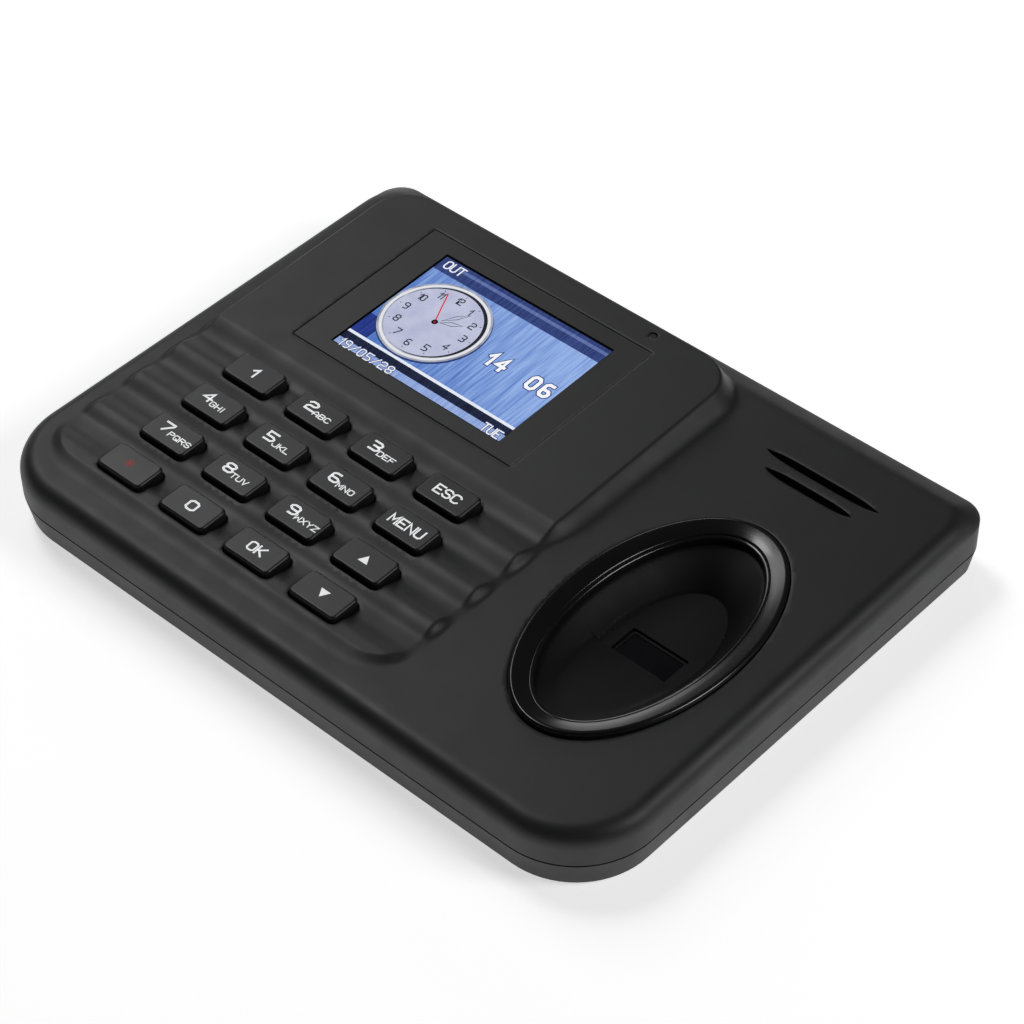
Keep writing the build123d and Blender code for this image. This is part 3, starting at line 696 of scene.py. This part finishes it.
def top_points(edges):
    """Points for the curved top, clear of the openings' edges: rolls, panel rings, field and waves."""
    guides = []
    for angle in ROLL_ANGLES:
        guides += body_outline(FRONT_ROLL * (1 - math.cos(math.radians(angle))))
    for inset in ROLL_INSETS:
        guides += body_outline(inset)
    rings = [p for offset in PANEL_RINGS for p in panel_outline(offset)]

    def in_waves(x, y):
        return WAVE_LEFT < x < WAVE_RIGHT and WAVE_FRONT < y < WAVE_REAR

    field = [p for p in grid(*FIELD) if not in_waves(*p)]
    field = [p for p in field if body_distance(np.array(p[0]), np.array(p[1])) < -FIELD_MARGIN]
    waves = grid(WAVE_LEFT, WAVE_RIGHT, WAVE_STEPS[0], WAVE_FRONT, WAVE_REAR, WAVE_STEPS[1])
    field = clear_of(field, [rings], FIELD_TO_RING)
    waves = clear_of(waves, [rings], WAVE_TO_RING)
    return guides + clear_of(field + waves + rings, edges + [guides], POINT_TO_EDGE)


def build_housing(material):
    """The upper housing: one moulded skin with its openings, walls and inner face."""
    net = Net()
    openings = housing_openings(net)
    x, y = np.array(body_outline(0)).T
    rim = net.loop(np.column_stack((x, y, surface(x, y))))
    edges = [[net.vertices[i] for i in top] for top, _ in openings]
    tops = [rim] + [top for top, _ in openings]
    net.fill(tops, top_points(edges), lambda px, py: (px, py, float(surface(px, py))))

    low = net.loop([(px, py, SPLIT + SEAM_CHAMFER) for px, py in body_outline(0)])
    seam = net.loop([(px, py, SPLIT) for px, py in body_outline(SEAM_CHAMFER)])
    inner_low = net.loop([(px, py, SPLIT) for px, py in body_outline(WALL)])
    inner_top = net.loop([(px, py, ceiling(px, py)) for px, py in body_outline(WALL)])
    net.stack([low, seam, inner_low])
    outer_holes = skirt(net, rim, low, HALF_DEPTH)
    inner_holes = skirt(net, inner_top, inner_low, HALF_DEPTH - WALL)
    for outer, inner in zip(outer_holes, inner_holes):
        net.bridge(outer, inner)
    bottoms = [inner_top] + [bottom for _, bottom in openings]
    net.fill(bottoms, [], lambda px, py: (px, py, ceiling(px, py)))
    housing = net.piece("housing", material)
    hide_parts("upper_housing")


# Screen window, picture and light -------------------------------------------

ACTIVE_X = -27.1
ACTIVE_Y = 26.9
ACTIVE_WIDTH = 48.96
ACTIVE_DEPTH = 36.72
LENS_CHAMFER = 0.12
WINDOW_DROP = 0.03
PICTURE_DEPTH = 1.28
LAYER = 0.02
LAYER_FILL = 0.8


def towards(value, center, step):
    """A value moved towards a centre by a step, and no further."""
    gap = value - center
    return value - math.copysign(min(step, abs(gap)), gap)


def prism(net, outline, low, high, chamfer=0.0, holes=()):
    """A closed block between two heights over an outline, each height a function of y."""
    rows = [net.loop([(x, y, low(y)) for x, y in outline])]
    rows.append(net.loop([(x, y, high(y) - chamfer) for x, y in outline]))
    if chamfer:
        center_x, center_y = np.mean(outline, axis=0)
        top = [(towards(x, center_x, chamfer), towards(y, center_y, chamfer)) for x, y in outline]
        rows.append(net.loop([(x, y, high(y)) for x, y in top]))
    net.stack(rows)
    low_holes = []
    high_holes = []
    for hole in holes:
        low_holes.append(net.loop([(x, y, low(y)) for x, y in hole]))
        high_holes.append(net.loop([(x, y, high(y)) for x, y in hole]))
        net.bridge(low_holes[-1], high_holes[-1])
    net.fill([rows[0]] + low_holes, [], lambda x, y: (x, y, low(y)))
    net.fill([rows[-1]] + high_holes, [], lambda x, y: (x, y, high(y)))


def rectangle(low_x, low_y, high_x, high_y, step=2.0):
    """A plain rectangle with points along its sides."""
    corners = [(low_x, low_y), (high_x, low_y), (high_x, high_y), (low_x, high_y)]
    points = []
    for start, end in zip(corners, corners[1:] + corners[:1]):
        count = max(1, round(math.dist(start, end) / step))
        for k in range(count):
            points.append(tuple(a + (b - a) * k / count for a, b in zip(start, end)))
    return points


def at_panel(drop):
    """The height of a plane a little below the panel, as a function of y."""
    return lambda y: panel_plane(y) - drop


def build_window(materials):
    """The screen window: a dark printed border and a clear middle."""
    low, high = box_mm("display_lens")
    outline = rectangle(low.x, low.y, high.x, high.y)
    x, y = ACTIVE_WIDTH / 2, ACTIVE_DEPTH / 2
    view = rectangle(ACTIVE_X - x, ACTIVE_Y - y, ACTIVE_X + x, ACTIVE_Y + y)
    net = Net()
    prism(net, outline, at_panel(LENS_THICKNESS), at_panel(0), LENS_CHAMFER, [view])
    border = net.piece("lens_border", materials["smoked_lens"], sharp=20)
    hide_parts("display_lens")
    net = Net()
    prism(net, view, at_panel(LENS_THICKNESS), at_panel(WINDOW_DROP))
    window = net.piece("lens_window", materials["clear_window"], sharp=20)


# Glyphs are drawn on a grid 4 wide and 6 high: each stroke is a row of corners, x then y.
GLYPHS = {
    "0": ["10 30 41 45 36 16 05 01 10"],
    "1": ["04 46 40"],
    "2": ["05 16 36 45 44 33 13 02 00 40"],
    "3": ["06 36 45 44 33 13", "33 42 41 30 00"],
    "4": ["30 36 02 42"],
    "5": ["46 06 03 33 42 41 30 00"],
    "6": ["36 16 05 01 10 30 41 42 33 03"],
    "7": ["06 46 45 10"],
    "8": ["13 04 05 16 36 45 44 33 13 02 01 10 30 41 42 33"],
    "9": ["10 30 41 45 36 16 05 04 13 43"],
    "A": ["00 04 26 44 40", "02 42"],
    "B": ["03 33 44 45 36 06 00 30 41 42 33"],
    "C": ["45 36 16 05 01 10 30 41"],
    "D": ["00 06 36 45 41 30 00"],
    "E": ["46 06 00 40", "03 33"],
    "F": ["46 06 00", "03 33"],
    "G": ["45 36 16 05 01 10 30 41 43 23"],
    "H": ["00 06", "40 46", "03 43"],
    "I": ["20 26"],
    "J": ["46 41 30 10 01 02"],
    "K": ["00 06", "46 13 40", "03 13"],
    "L": ["06 00 40"],
    "M": ["00 06 22 46 40"],
    "N": ["00 06 40 46"],
    "O": ["10 30 41 45 36 16 05 01 10"],
    "P": ["00 06 36 45 44 33 03"],
    "Q": ["10 30 41 45 36 16 05 01 10", "22 40"],
    "R": ["00 06 36 45 44 33 03", "23 40"],
    "S": ["45 36 16 05 04 13 33 42 41 30 10 01"],
    "T": ["06 46", "26 20"],
    "U": ["06 01 10 30 41 46"],
    "V": ["06 20 46"],
    "W": ["06 00 24 40 46"],
    "X": ["00 46", "06 40"],
    "Y": ["06 23 46", "23 20"],
    "Z": ["06 46 00 40"],
    "/": ["00 46"],
}

MITRE_LIMIT = 0.45
NARROW = 0.45
GLYPH_GAP = 0.32


def ribbon(points, width):
    """A stroke's two sides, with mitred turns, and whether the stroke is closed."""
    closed = points[0] == points[-1]
    if closed:
        points = points[:-1]
    count = len(points)
    sides = ([], [])
    for i in range(count):
        before = points[i - 1] if closed or i else None
        after = points[(i + 1) % count] if closed or i < count - 1 else None
        here = Vector(points[i])
        into = (here - Vector(before)).normalized() if before else None
        out = (Vector(after) - here).normalized() if after else None
        into, out = into or out, out or into
        across = Vector((-into.y - out.y, into.x + out.x)).normalized()
        reach = width / 2 / max(MITRE_LIMIT, across.dot(Vector((-into.y, into.x))))
        if not before:
            here -= into * width / 2
        if not after:
            here += out * width / 2
        sides[0].append(tuple(here + across * reach))
        sides[1].append(tuple(here - across * reach))
    return sides, closed


def draw(net, points, width, low, high):
    """One stroke as a thin closed block."""
    sides, closed = ribbon(points, width)
    rows = [net.loop([(x, y, h(y)) for x, y in side]) for h in (low, high) for side in sides]
    low_left, low_right, high_left, high_right = rows
    around = [low_left, high_left, high_right, low_right, low_left]
    for first, second in zip(around, around[1:]):
        net.bridge(first, second, closed)
    if not closed:
        for end in (0, -1):
            net.faces.append((low_left[end], high_left[end], high_right[end], low_right[end]))


def write(net, text, spot, width, height, stroke, low, high, gap=GLYPH_GAP):
    """A line of glyphs from its lower left corner. Gives the place of the next glyph."""
    x, y = spot
    for letter in text:
        wide = width * (NARROW if letter in "I1" else 1)
        for path in GLYPHS[letter]:
            corners = [(int(column), int(row)) for column, row in path.split()]
            points = [(x + column / 4 * wide, y + row / 6 * height) for column, row in corners]
            draw(net, points, stroke, low, high)
        x += wide + gap * width
    return x


def flat_disc(net, center, radius, low, high, count, hole=0.0):
    """A disc or a ring as a thin closed block."""
    holes = [ellipse(center, hole, hole, count)] if hole else []
    prism(net, ellipse(center, radius, radius, count), low, high, 0, holes)


def screen_spot(u, v):
    """A point of the picture, from its left edge and its top, both 0 to 1."""
    return (ACTIVE_X + (u - 0.5) * ACTIVE_WIDTH, ACTIVE_Y + (0.5 - v) * ACTIVE_DEPTH)


CLOCK = screen_spot(0.262, 0.483)
DIAL_RADIUS = 12.7
DIAL_STEPS = 128
NUMERAL_RADIUS = 8.4
NUMERAL_WIDTHS = (1.15, 0.95)
NUMERAL_HEIGHT = 1.9
NUMERAL_STROKE = 0.3
NUMERAL_GAP = 0.3
MARK_ENDS = (10.0, 10.4)
MARK_STROKE = 0.13
LEAF = [(0.18, 0), (0.6, 0.5), (1, 0), (0.6, -0.5), (0.18, 0)]
LEAF_STROKE = 0.16
BAR = [(0, 0), (1, 0)]

# Text, its lower left corner in the picture, width, height, stroke, gap and its outline's reach
TIME_WORDS = [
    ("14", (0.606, 0.553), 2.05, 3.75, 0.85, 0.8, 0.5),
    ("06", (0.842, 0.553), 2.05, 3.75, 0.85, 0.8, 0.5),
]
LINE_WORDS = [
    ("19/05/28", (0.028, 0.985), 1.4, 2.2, 0.3, 0.5, 0.34),
    ("TUE", (0.874, 0.98), 1.3, 2.3, 0.34, 0.35, 0.34),
    ("OUT", (0.035, 0.092), 1.4, 2.4, 0.36, 0.35, 0.3),
]

# Each shape below is a function that draws itself between two heights.


def band(u0, v0, u1, v1):
    """A rectangle of the picture."""

    def shape(net, low, high):
        left, top = screen_spot(u0, v0)
        right, bottom = screen_spot(u1, v1)
        prism(net, rectangle(left, bottom, right, top), low, high)

    return shape


def disc(radius, hole=0.0, shift=(0, 0)):
    """A disc or a ring at the clock's middle, or a little to one side of it."""
    center = (CLOCK[0] + shift[0], CLOCK[1] + shift[1])
    return lambda net, low, high: flat_disc(net, center, radius, low, high, DIAL_STEPS, hole)


def hand(angle, length, width, path=LEAF, stroke=LEAF_STROKE):
    """A hand, clockwise from twelve. Its path has shares of its length and of its width."""

    def shape(net, low, high):
        turn = math.radians(90 - angle)
        along = Vector((math.cos(turn), math.sin(turn)))
        across = Vector((-along.y, along.x))
        points = [tuple(Vector(CLOCK) + along * length * s + across * width * w) for s, w in path]
        draw(net, points, stroke, low, high)

    return shape


def dial_numerals(net, low, high):
    """The hours, 1 to 12."""
    for hour in range(1, 13):
        angle = math.radians(90 - hour * 30)
        text = str(hour)
        width = NUMERAL_WIDTHS[len(text) - 1]
        span = len(text) * width + (len(text) - 1) * NUMERAL_GAP * width
        x = CLOCK[0] + NUMERAL_RADIUS * math.cos(angle) - span / 2
        y = CLOCK[1] + NUMERAL_RADIUS * math.sin(angle) - NUMERAL_HEIGHT / 2
        write(net, text, (x, y), width, NUMERAL_HEIGHT, NUMERAL_STROKE, low, high, NUMERAL_GAP)


def hour_marks(net, low, high):
    """A short stroke outside each numeral."""
    for hour in range(12):
        angle = math.radians(hour * 30)
        ends = [(CLOCK[0] + r * math.cos(angle), CLOCK[1] + r * math.sin(angle)) for r in MARK_ENDS]
        draw(net, ends, MARK_STROKE, low, high)


def words(lines, outlined):
    """Lines of glyphs, or the dark outlines behind them."""

    def shape(net, low, high):
        for text, spot, width, height, stroke, gap, outline in lines:
            stroke += outline if outlined else 0
            write(net, text, screen_spot(*spot), width, height, stroke, low, high, gap)

    return shape


def picture_layers():
    """From the screen's glass upwards: each layer's name, bright and dark colours, shapes and streaks."""
    return [
        ("screen_ground", (0.34, 0.5, 0.87), (0.09, 0.2, 0.58), [band(0, 0, 1, 1)],
         {"scale": (300, 16, 20), "turn": 28, "rise": 6.0}),
        ("screen_top_bar", (0.055, 0.09, 0.28), (0.02, 0.035, 0.14), [band(0, 0, 1, 0.125)], {}),
        ("screen_top_line", (0.16, 0.22, 0.48), (0.1, 0.14, 0.36), [band(0.1, 0.03, 1, 0.055)], {}),
        ("screen_shade_left", (0.03, 0.06, 0.32), (0.015, 0.03, 0.2), [band(0, 0.66, 0.1, 0.84)], {}),
        ("screen_stripe", (0.93, 0.95, 1.0), (0.8, 0.86, 1.0), [band(0, 0.84, 1, 0.862)], {}),
        ("screen_stripe_shade", (0.02, 0.03, 0.07), (0.008, 0.01, 0.03), [band(0, 0.862, 1, 0.925)], {}),
        ("screen_bottom_bar", (0.42, 0.54, 0.86), (0.22, 0.33, 0.68), [band(0, 0.925, 1, 1)], {}),
        ("dial_shadow", (0.02, 0.05, 0.2), None, [disc(DIAL_RADIUS + 0.15, shift=(0.25, -0.35))], {}),
        ("dial_rim", (0.62, 0.63, 0.68), (0.25, 0.26, 0.32), [disc(DIAL_RADIUS)], {"scale": (60, 60, 60)}),
        ("dial_rim_light", (0.85, 0.86, 0.9), None, [disc(DIAL_RADIUS - 0.5, DIAL_RADIUS - 1.2)], {}),
        ("dial_edge", (0.02, 0.02, 0.03), None, [disc(DIAL_RADIUS - 1.4, shift=(0.18, 0.12))], {}),
        ("dial_face", (0.62, 0.64, 0.8), (0.5, 0.52, 0.7), [disc(DIAL_RADIUS - 1.75, shift=(-0.2, -0.15))],
         {"scale": (50, 50, 50)}),
        ("dial_print", (0.03, 0.03, 0.05), None, [dial_numerals, hour_marks], {}),
        ("dial_hands", (0.02, 0.02, 0.03), None, [hand(36, 8.0, 1.0), hand(63, 6.3, 1.2)], {}),
        ("dial_second_hand", (0.75, 0.03, 0.04), None, [hand(-25, 9.4, 0, BAR, 0.3)], {}),
        ("dial_hub", (0.008, 0.006, 0.008), None, [disc(0.75)], {}),
        ("dial_hub_center", (0.45, 0.02, 0.03), None, [disc(0.28)], {}),
        ("time_outline", (0.02, 0.04, 0.2), None, [words(TIME_WORDS, True)], {}),
        ("time_digits", (0.98, 0.98, 1.0), None, [words(TIME_WORDS, False)], {}),
        ("line_outline", (0.02, 0.03, 0.15), None, [words(LINE_WORDS, True)], {}),
        ("line_words", (0.93, 0.95, 1.0), None, [words(LINE_WORDS, False)], {}),
    ]


def build_picture():
    """The clock screen: sky-blue ground, a dial, the time, the date, the day and a state word."""
    for level, (name, bright, dark, shapes, streaks) in enumerate(picture_layers()):
        net = Net()
        low = at_panel(PICTURE_DEPTH - level * LAYER)
        high = at_panel(PICTURE_DEPTH - (level + LAYER_FILL) * LAYER)
        for shape in shapes:
            shape(net, low, high)
        piece = net.piece(name, glowing(name, dark or bright, bright, **streaks), sharp=20)


# Key legends ----------------------------------------------------------------

KEY_RISE = 1.2
INK_THICKNESS = 0.02
INK_ROOT = 0.03

# A large digit with small letters to its right, or a word in the middle
LEGENDS = {
    "key_1": ("1", ""), "key_2": ("2", "ABC"), "key_3": ("3", "DEF"), "key_esc": ("", "ESC"),
    "key_4": ("4", "GHI"), "key_5": ("5", "JKL"), "key_6": ("6", "MNO"), "key_menu": ("", "MENU"),
    "key_7": ("7", "PQRS"), "key_8": ("8", "TUV"), "key_9": ("9", "WXYZ"),
    "key_0": ("0", ""), "key_ok": ("", "OK"),
}

# Width, height and stroke
DIGIT = (2.3, 2.4, 0.5)
LETTER = (1.2, 1.3, 0.26)
WORD = (1.75, 2.25, 0.42)
DIGIT_SPOT = (-3.2, -0.6)
LETTERS_SPOT = (-0.25, -1.2)
LETTERS_GAP = 0.36
MARK_SHIFT = (-0.2, 0.1)
MARK_RING = (1.0, 0.72)
MARK_DOT = 0.5
ARROW_HALF = 1.25
ARROW_FOOT = 0.95
ARROW_TIP = 1.15


def ink_low(y):
    """Height of the print's foot, a little inside the key's top."""
    return panel_plane(y) + KEY_RISE - INK_ROOT


def ink_high(y):
    """Height of the print's face."""
    return panel_plane(y) + KEY_RISE + INK_THICKNESS


def print_legend(net, x, y, digit, letters):
    """A digit, a digit with small letters, or a word, on a key at a place."""
    if digit and letters:
        spot = (x + DIGIT_SPOT[0], y + DIGIT_SPOT[1])
        end = write(net, digit, spot, *DIGIT, ink_low, ink_high)
        spot = (end + LETTERS_SPOT[0], y + LETTERS_SPOT[1])
        write(net, letters, spot, *LETTER, ink_low, ink_high, LETTERS_GAP)
    elif digit:
        width = DIGIT[0] * (0.5 if digit == "1" else 1)
        write(net, digit, (x - width / 2, y - DIGIT[1] / 2), *DIGIT, ink_low, ink_high)
    else:
        span = len(letters) * WORD[0] + (len(letters) - 1) * GLYPH_GAP * WORD[0]
        write(net, letters, (x - span / 2, y - WORD[1] / 2), *WORD, ink_low, ink_high)


def build_legends(materials):
    """White print with a painted glow on each key: digits with small letters, words and arrows, and one red
    mark.
    """
    for name in KEY_NODES:
        x, y = middle(name)
        net = Net()
        color = "white_ink_glow"
        if name in LEGENDS:
            print_legend(net, x, y, *LEGENDS[name])
        elif name == "key_record":
            color = "red_ink_glow"
            spot = (x + MARK_SHIFT[0], y + MARK_SHIFT[1])
            flat_disc(net, spot, MARK_RING[0], ink_low, ink_high, 48, MARK_RING[1])
            flat_disc(net, spot, MARK_DOT, ink_low, ink_high, 32)
        else:
            side = 1 if name == "key_up" else -1
            foot = y - side * ARROW_FOOT
            triangle = [(x - ARROW_HALF, foot), (x + ARROW_HALF, foot), (x, y + side * ARROW_TIP)]
            prism(net, triangle, ink_low, ink_high)
        legend = net.piece("legend_" + name[4:], materials[color], name, sharp=20)


# Finger ring and well -------------------------------------------------------

RING_INNER = (15.4, 29.8)
RING_WIDTH = 5.2
RING_BOTTOM = 13.6
RING_CREST = 16.7
RING_UNDERSIDE = 14.6
RING_FOOT = 2.0
RING_COUNT = 240

# Reach out from the inner wall, and height: the lip and its fine steps, then the outer edge
RING_LIP = [
    (RING_FOOT, RING_BOTTOM), (0.0, RING_BOTTOM), (0.0, 14.9), (0.05, 15.15), (0.2, 15.36), (0.45, 15.5),
    (0.72, 15.56), (0.8, 15.48), (0.92, 15.48), (1.0, 15.62), (1.1, 15.75), (1.3, 15.84),
]
RING_EDGE = [
    (4.72, 16.66), (4.92, 16.55), (5.08, 16.34), (RING_WIDTH, 16.05),
    (RING_WIDTH, RING_UNDERSIDE), (RING_FOOT, RING_UNDERSIDE),
]
BAND_START = (1.6, 15.93)
BAND_WIDTH = 2.9
BAND_CURVE = 0.85
BAND_STEPS = 6

WELL_FLOOR = 7.4
WELL_BED = (10.0, 18.5)
WELL_BED_SHIFT = 2.0
WELL_MOUTH = (15.2, RING_INNER[1] - 0.2)
WELL_WALL = WELL_MOUTH[0] + 0.2
WELL_FLANGE = 1.7
WELL_COUNT = 200
WELL_SKIN = 1.2
WELL_REACH = (16, 30)
WELL_GRID = (0.6, 0.45)
WELL_GAPS = (0.22, 0.25)
WELL_MARGIN = 0.985
SHELF_HEIGHT = 0.9
SHELF_RUN = 0.05
BED_SHARES = (0.985, 1.0, 1.012, 1.025, 1.04, 1.055, 1.075)
RAMP_FRONT = (-37.0, 13.0)
RAMP_REAR = (-13.5, 9.2)
RAMP_DROP = 12.0
RAMP_BLEND = 0.5
PIT = (14.4, 8.6)
PIT_Y = -9.2
PIT_DEPTH = 6.8
PIT_LEDGE = 0.75
PIT_CORNER = 0.6
PIT_STEPS = (24, 16)
PIT_CLEARANCE = 0.4
SILL_CORNER = 0.3


def build_ring(material):
    """The polished ring: a band that slopes inwards to fine steps, run round an ellipse."""
    band_points = []
    for k in range(BAND_STEPS + 1):
        t = k / BAND_STEPS
        height = BAND_START[1] + (RING_CREST - BAND_START[1]) * t ** BAND_CURVE
        band_points.append((BAND_START[0] + BAND_WIDTH * t, height))
    net = Net()
    rows = []
    for offset, z in RING_LIP + band_points + RING_EDGE:
        points = ellipse(WELL_CENTER, RING_INNER[0] + offset, RING_INNER[1] + offset, RING_COUNT)
        rows.append(net.loop([(x, y, z) for x, y in points]))
    net.stack(rows + [rows[0]])
    ring = net.piece("ring", material, sharp=50)
    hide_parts("finger_ring")


def well_height(x, y):
    """The liner's inside: bed, front ramp, rounded pad edge and sloping walls."""
    cx, cy = WELL_CENTER
    x = np.asarray(x, float) - cx
    y = np.asarray(y, float)
    mouth = np.hypot(x / WELL_WALL, (y - cy) / WELL_MOUTH[1])
    bed = np.hypot(x / WELL_BED[0], (y - cy - WELL_BED_SHIFT) / WELL_BED[1])
    rise = np.clip((bed - 1) / np.maximum(bed - mouth, 1e-6), 0, 1)
    wall = WELL_FLOOR + (RING_BOTTOM - WELL_FLOOR) * rise
    shelf = SHELF_HEIGHT * smooth_step((bed - 1) / SHELF_RUN)
    floor = np.where(bed < 1, WELL_FLOOR, np.maximum(wall, WELL_FLOOR + shelf))
    slope = (RAMP_FRONT[1] - RAMP_REAR[1]) / (RAMP_REAR[0] - RAMP_FRONT[0])
    ramp = RAMP_REAR[1] + slope * (RAMP_REAR[0] - y)
    ramp = ramp - RAMP_DROP * np.clip(y - RAMP_REAR[0], 0, 1)
    gap = floor - ramp
    return (floor + ramp + np.sqrt(gap * gap + RAMP_BLEND * RAMP_BLEND)) / 2


def well_points(edges):
    """Points inside the liner's mouth: a grid, with rings that follow the pad's edge."""
    cx, cy = WELL_CENTER
    points = [
        p for p in grid(cx - WELL_REACH[0], cx + WELL_REACH[0], WELL_GRID[0],
                        cy - WELL_REACH[1], cy + WELL_REACH[1], WELL_GRID[1])
        if math.hypot((p[0] - cx) / WELL_MOUTH[0], (p[1] - cy) / WELL_MOUTH[1]) < WELL_MARGIN
    ]
    rings = []
    for share in BED_SHARES:
        rings += ellipse((cx, cy + WELL_BED_SHIFT), WELL_BED[0] * share, WELL_BED[1] * share)
    return clear_of(clear_of(points, [rings], WELL_GAPS[0]) + rings, edges, WELL_GAPS[1])


def around_pit(inset, corner):
    """The pit's outline in the well's floor, moved inwards by a distance."""
    half = [side / 2 - inset for side in PIT]
    x = WELL_CENTER[0]
    return rounded(
        x - half[0], PIT_Y - half[1], x + half[0], PIT_Y + half[1], (corner,) * 4, PIT_STEPS, 4
    )


def build_well(material):
    """The finger well's liner, with the sensor's pit through its floor."""
    net = Net()

    def inside(px, py):
        return (px, py, float(well_height(px, py)))

    def below(px, py):
        return (px, py, min(RING_BOTTOM, float(well_height(px, py))) - WELL_SKIN)

    def level(outline, z):
        return net.loop([(px, py, z) for px, py in outline])

    mouth = ellipse(WELL_CENTER, *WELL_MOUTH, WELL_COUNT)
    flange = ellipse(WELL_CENTER, WELL_MOUTH[0] + WELL_FLANGE, WELL_MOUTH[1] + WELL_FLANGE, WELL_COUNT)
    pit = around_pit(0, PIT_CORNER)
    sill = around_pit(PIT_LEDGE, SILL_CORNER)
    top = net.loop([inside(*p) for p in mouth])
    rim = net.loop([inside(*p) for p in pit])
    through = [rim, level(pit, PIT_DEPTH), level(sill, PIT_DEPTH), level(sill, WELL_FLOOR - WELL_SKIN)]
    net.stack(through)
    points = well_points([mouth, pit])
    net.fill([top, rim], points, inside)
    foot = level(flange, RING_BOTTOM), level(flange, RING_BOTTOM - WELL_SKIN)
    net.stack([top, *foot])
    reach = [side / 2 + PIT_CLEARANCE for side in PIT]
    under = [p for p in points if abs(p[0] - WELL_CENTER[0]) >= reach[0] or abs(p[1] - PIT_Y) >= reach[1]]
    net.fill([foot[1], through[-1]], under[::2], below)
    well = net.piece("well", material, sharp=38)
    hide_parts("finger_well")


# Camera ---------------------------------------------------------------------

CAMERA_AZIMUTH = math.radians(42.85)
CAMERA_ELEVATION = math.radians(43.97)
CAMERA_ROLL = math.radians(-0.84)
CAMERA_DISTANCE = 617.2 * MM
CAMERA_LENS = 103.6
AIM_RIGHT = 6.38 * MM
AIM_UP = 3.77 * MM
AIM_HEIGHT = 1.0 * MM
FLOOR_REACH = 4.0

# Size, place and power of each soft box, all aimed at the origin
LIGHTS = {
    "softbox": (0.3, (-0.55, 0.1, 0.95), 2.5),
    "left": (0.5, (-1.05, 0.4, 1.0), 2.5),
    "right": (0.5, (1.1, 0.5, 0.9), 6.5),
    "back": (0.45, (-0.97, 1.05, 0.36), 1.3),
}


def add_camera():
    """The camera at the photograph's viewing angle."""
    az, el = CAMERA_AZIMUTH, CAMERA_ELEVATION
    back = Vector((math.sin(az) * math.cos(el), -math.cos(az) * math.cos(el), math.sin(el)))
    level_right = Vector((math.cos(az), math.sin(az), 0))
    level_up = back.cross(level_right)
    c, s = math.cos(CAMERA_ROLL), math.sin(CAMERA_ROLL)
    right = level_right * c + level_up * s
    up = level_up * c - level_right * s
    camera = bpy.data.objects.new("camera", bpy.data.cameras.new("camera"))
    bpy.context.scene.collection.objects.link(camera)
    camera.data.lens = CAMERA_LENS
    camera.data.clip_start = 0.01
    place = right * AIM_RIGHT + up * AIM_UP + back * CAMERA_DISTANCE
    place.z += AIM_HEIGHT
    columns = [(*axis, 0) for axis in (right, up, back)] + [(*place, 1)]
    camera.matrix_world = Matrix(columns).transposed()
    bpy.context.scene.camera = camera


def add_light(name, size, place, power):
    """A square soft box that shines from a place towards the origin."""
    light = bpy.data.objects.new(name, bpy.data.lights.new(name, "AREA"))
    light.data.shape = "SQUARE"
    light.data.size = size
    light.data.energy = power
    light.location = place
    light.rotation_euler = (-Vector(place)).to_track_quat("-Z", "Y").to_euler()
    bpy.context.scene.collection.objects.link(light)


def add_floor():
    """A plain pale floor."""
    reach = FLOOR_REACH
    corners = [(-reach, -reach, 0), (reach, -reach, 0), (reach, reach, 0), (-reach, reach, 0)]
    glow = {"Emission_Color": (1, 1, 1, 1), "Emission_Strength": 0.62}
    material = new_material("floor", Base_Color=(0.9, 0.9, 0.9, 1), Roughness=0.9, **glow)[0]
    mesh = bpy.data.meshes.new("floor")
    mesh.from_pydata(corners, [], [(0, 1, 2, 3)])
    mesh.materials.append(material)
    floor = bpy.data.objects.new("floor", mesh)
    bpy.context.scene.collection.objects.link(floor)


def add_world():
    """A pale studio: bright low behind the object, dim overhead and in front."""
    world = bpy.data.worlds.new("studio")
    world.use_nodes = True
    tree = world.node_tree
    place = add(tree, "TexCoord")
    toward = add(tree, "VectorMath", "DOT_PRODUCT")
    toward.inputs[1].default_value = (-0.544, 0.586, -0.3)
    spread = add(tree, "MapRange", From_Min=-0.4, From_Max=0.85, To_Min=0.12, To_Max=0.95)
    spread.interpolation_type = "SMOOTHSTEP"
    join(tree, place, "Generated", toward, 0)
    join(tree, toward, "Value", spread, "Value")
    join(tree, spread, "Result", tree.nodes["Background"], "Strength")
    bpy.context.scene.world = world


def add_stage():
    """The floor, the studio's world and its soft lights."""
    add_floor()
    add_world()
    for name, (size, place, power) in LIGHTS.items():
        add_light(name, size, place, power)
    bpy.context.scene.view_settings.view_transform = "Standard"


add_camera()
add_stage()
materials = make_materials()
dress_nodes(materials)
build_housing(materials["black_housing"])
build_window(materials)
build_picture()
build_legends(materials)
build_ring(materials["gloss_ring"])
build_well(materials["dark_well"])
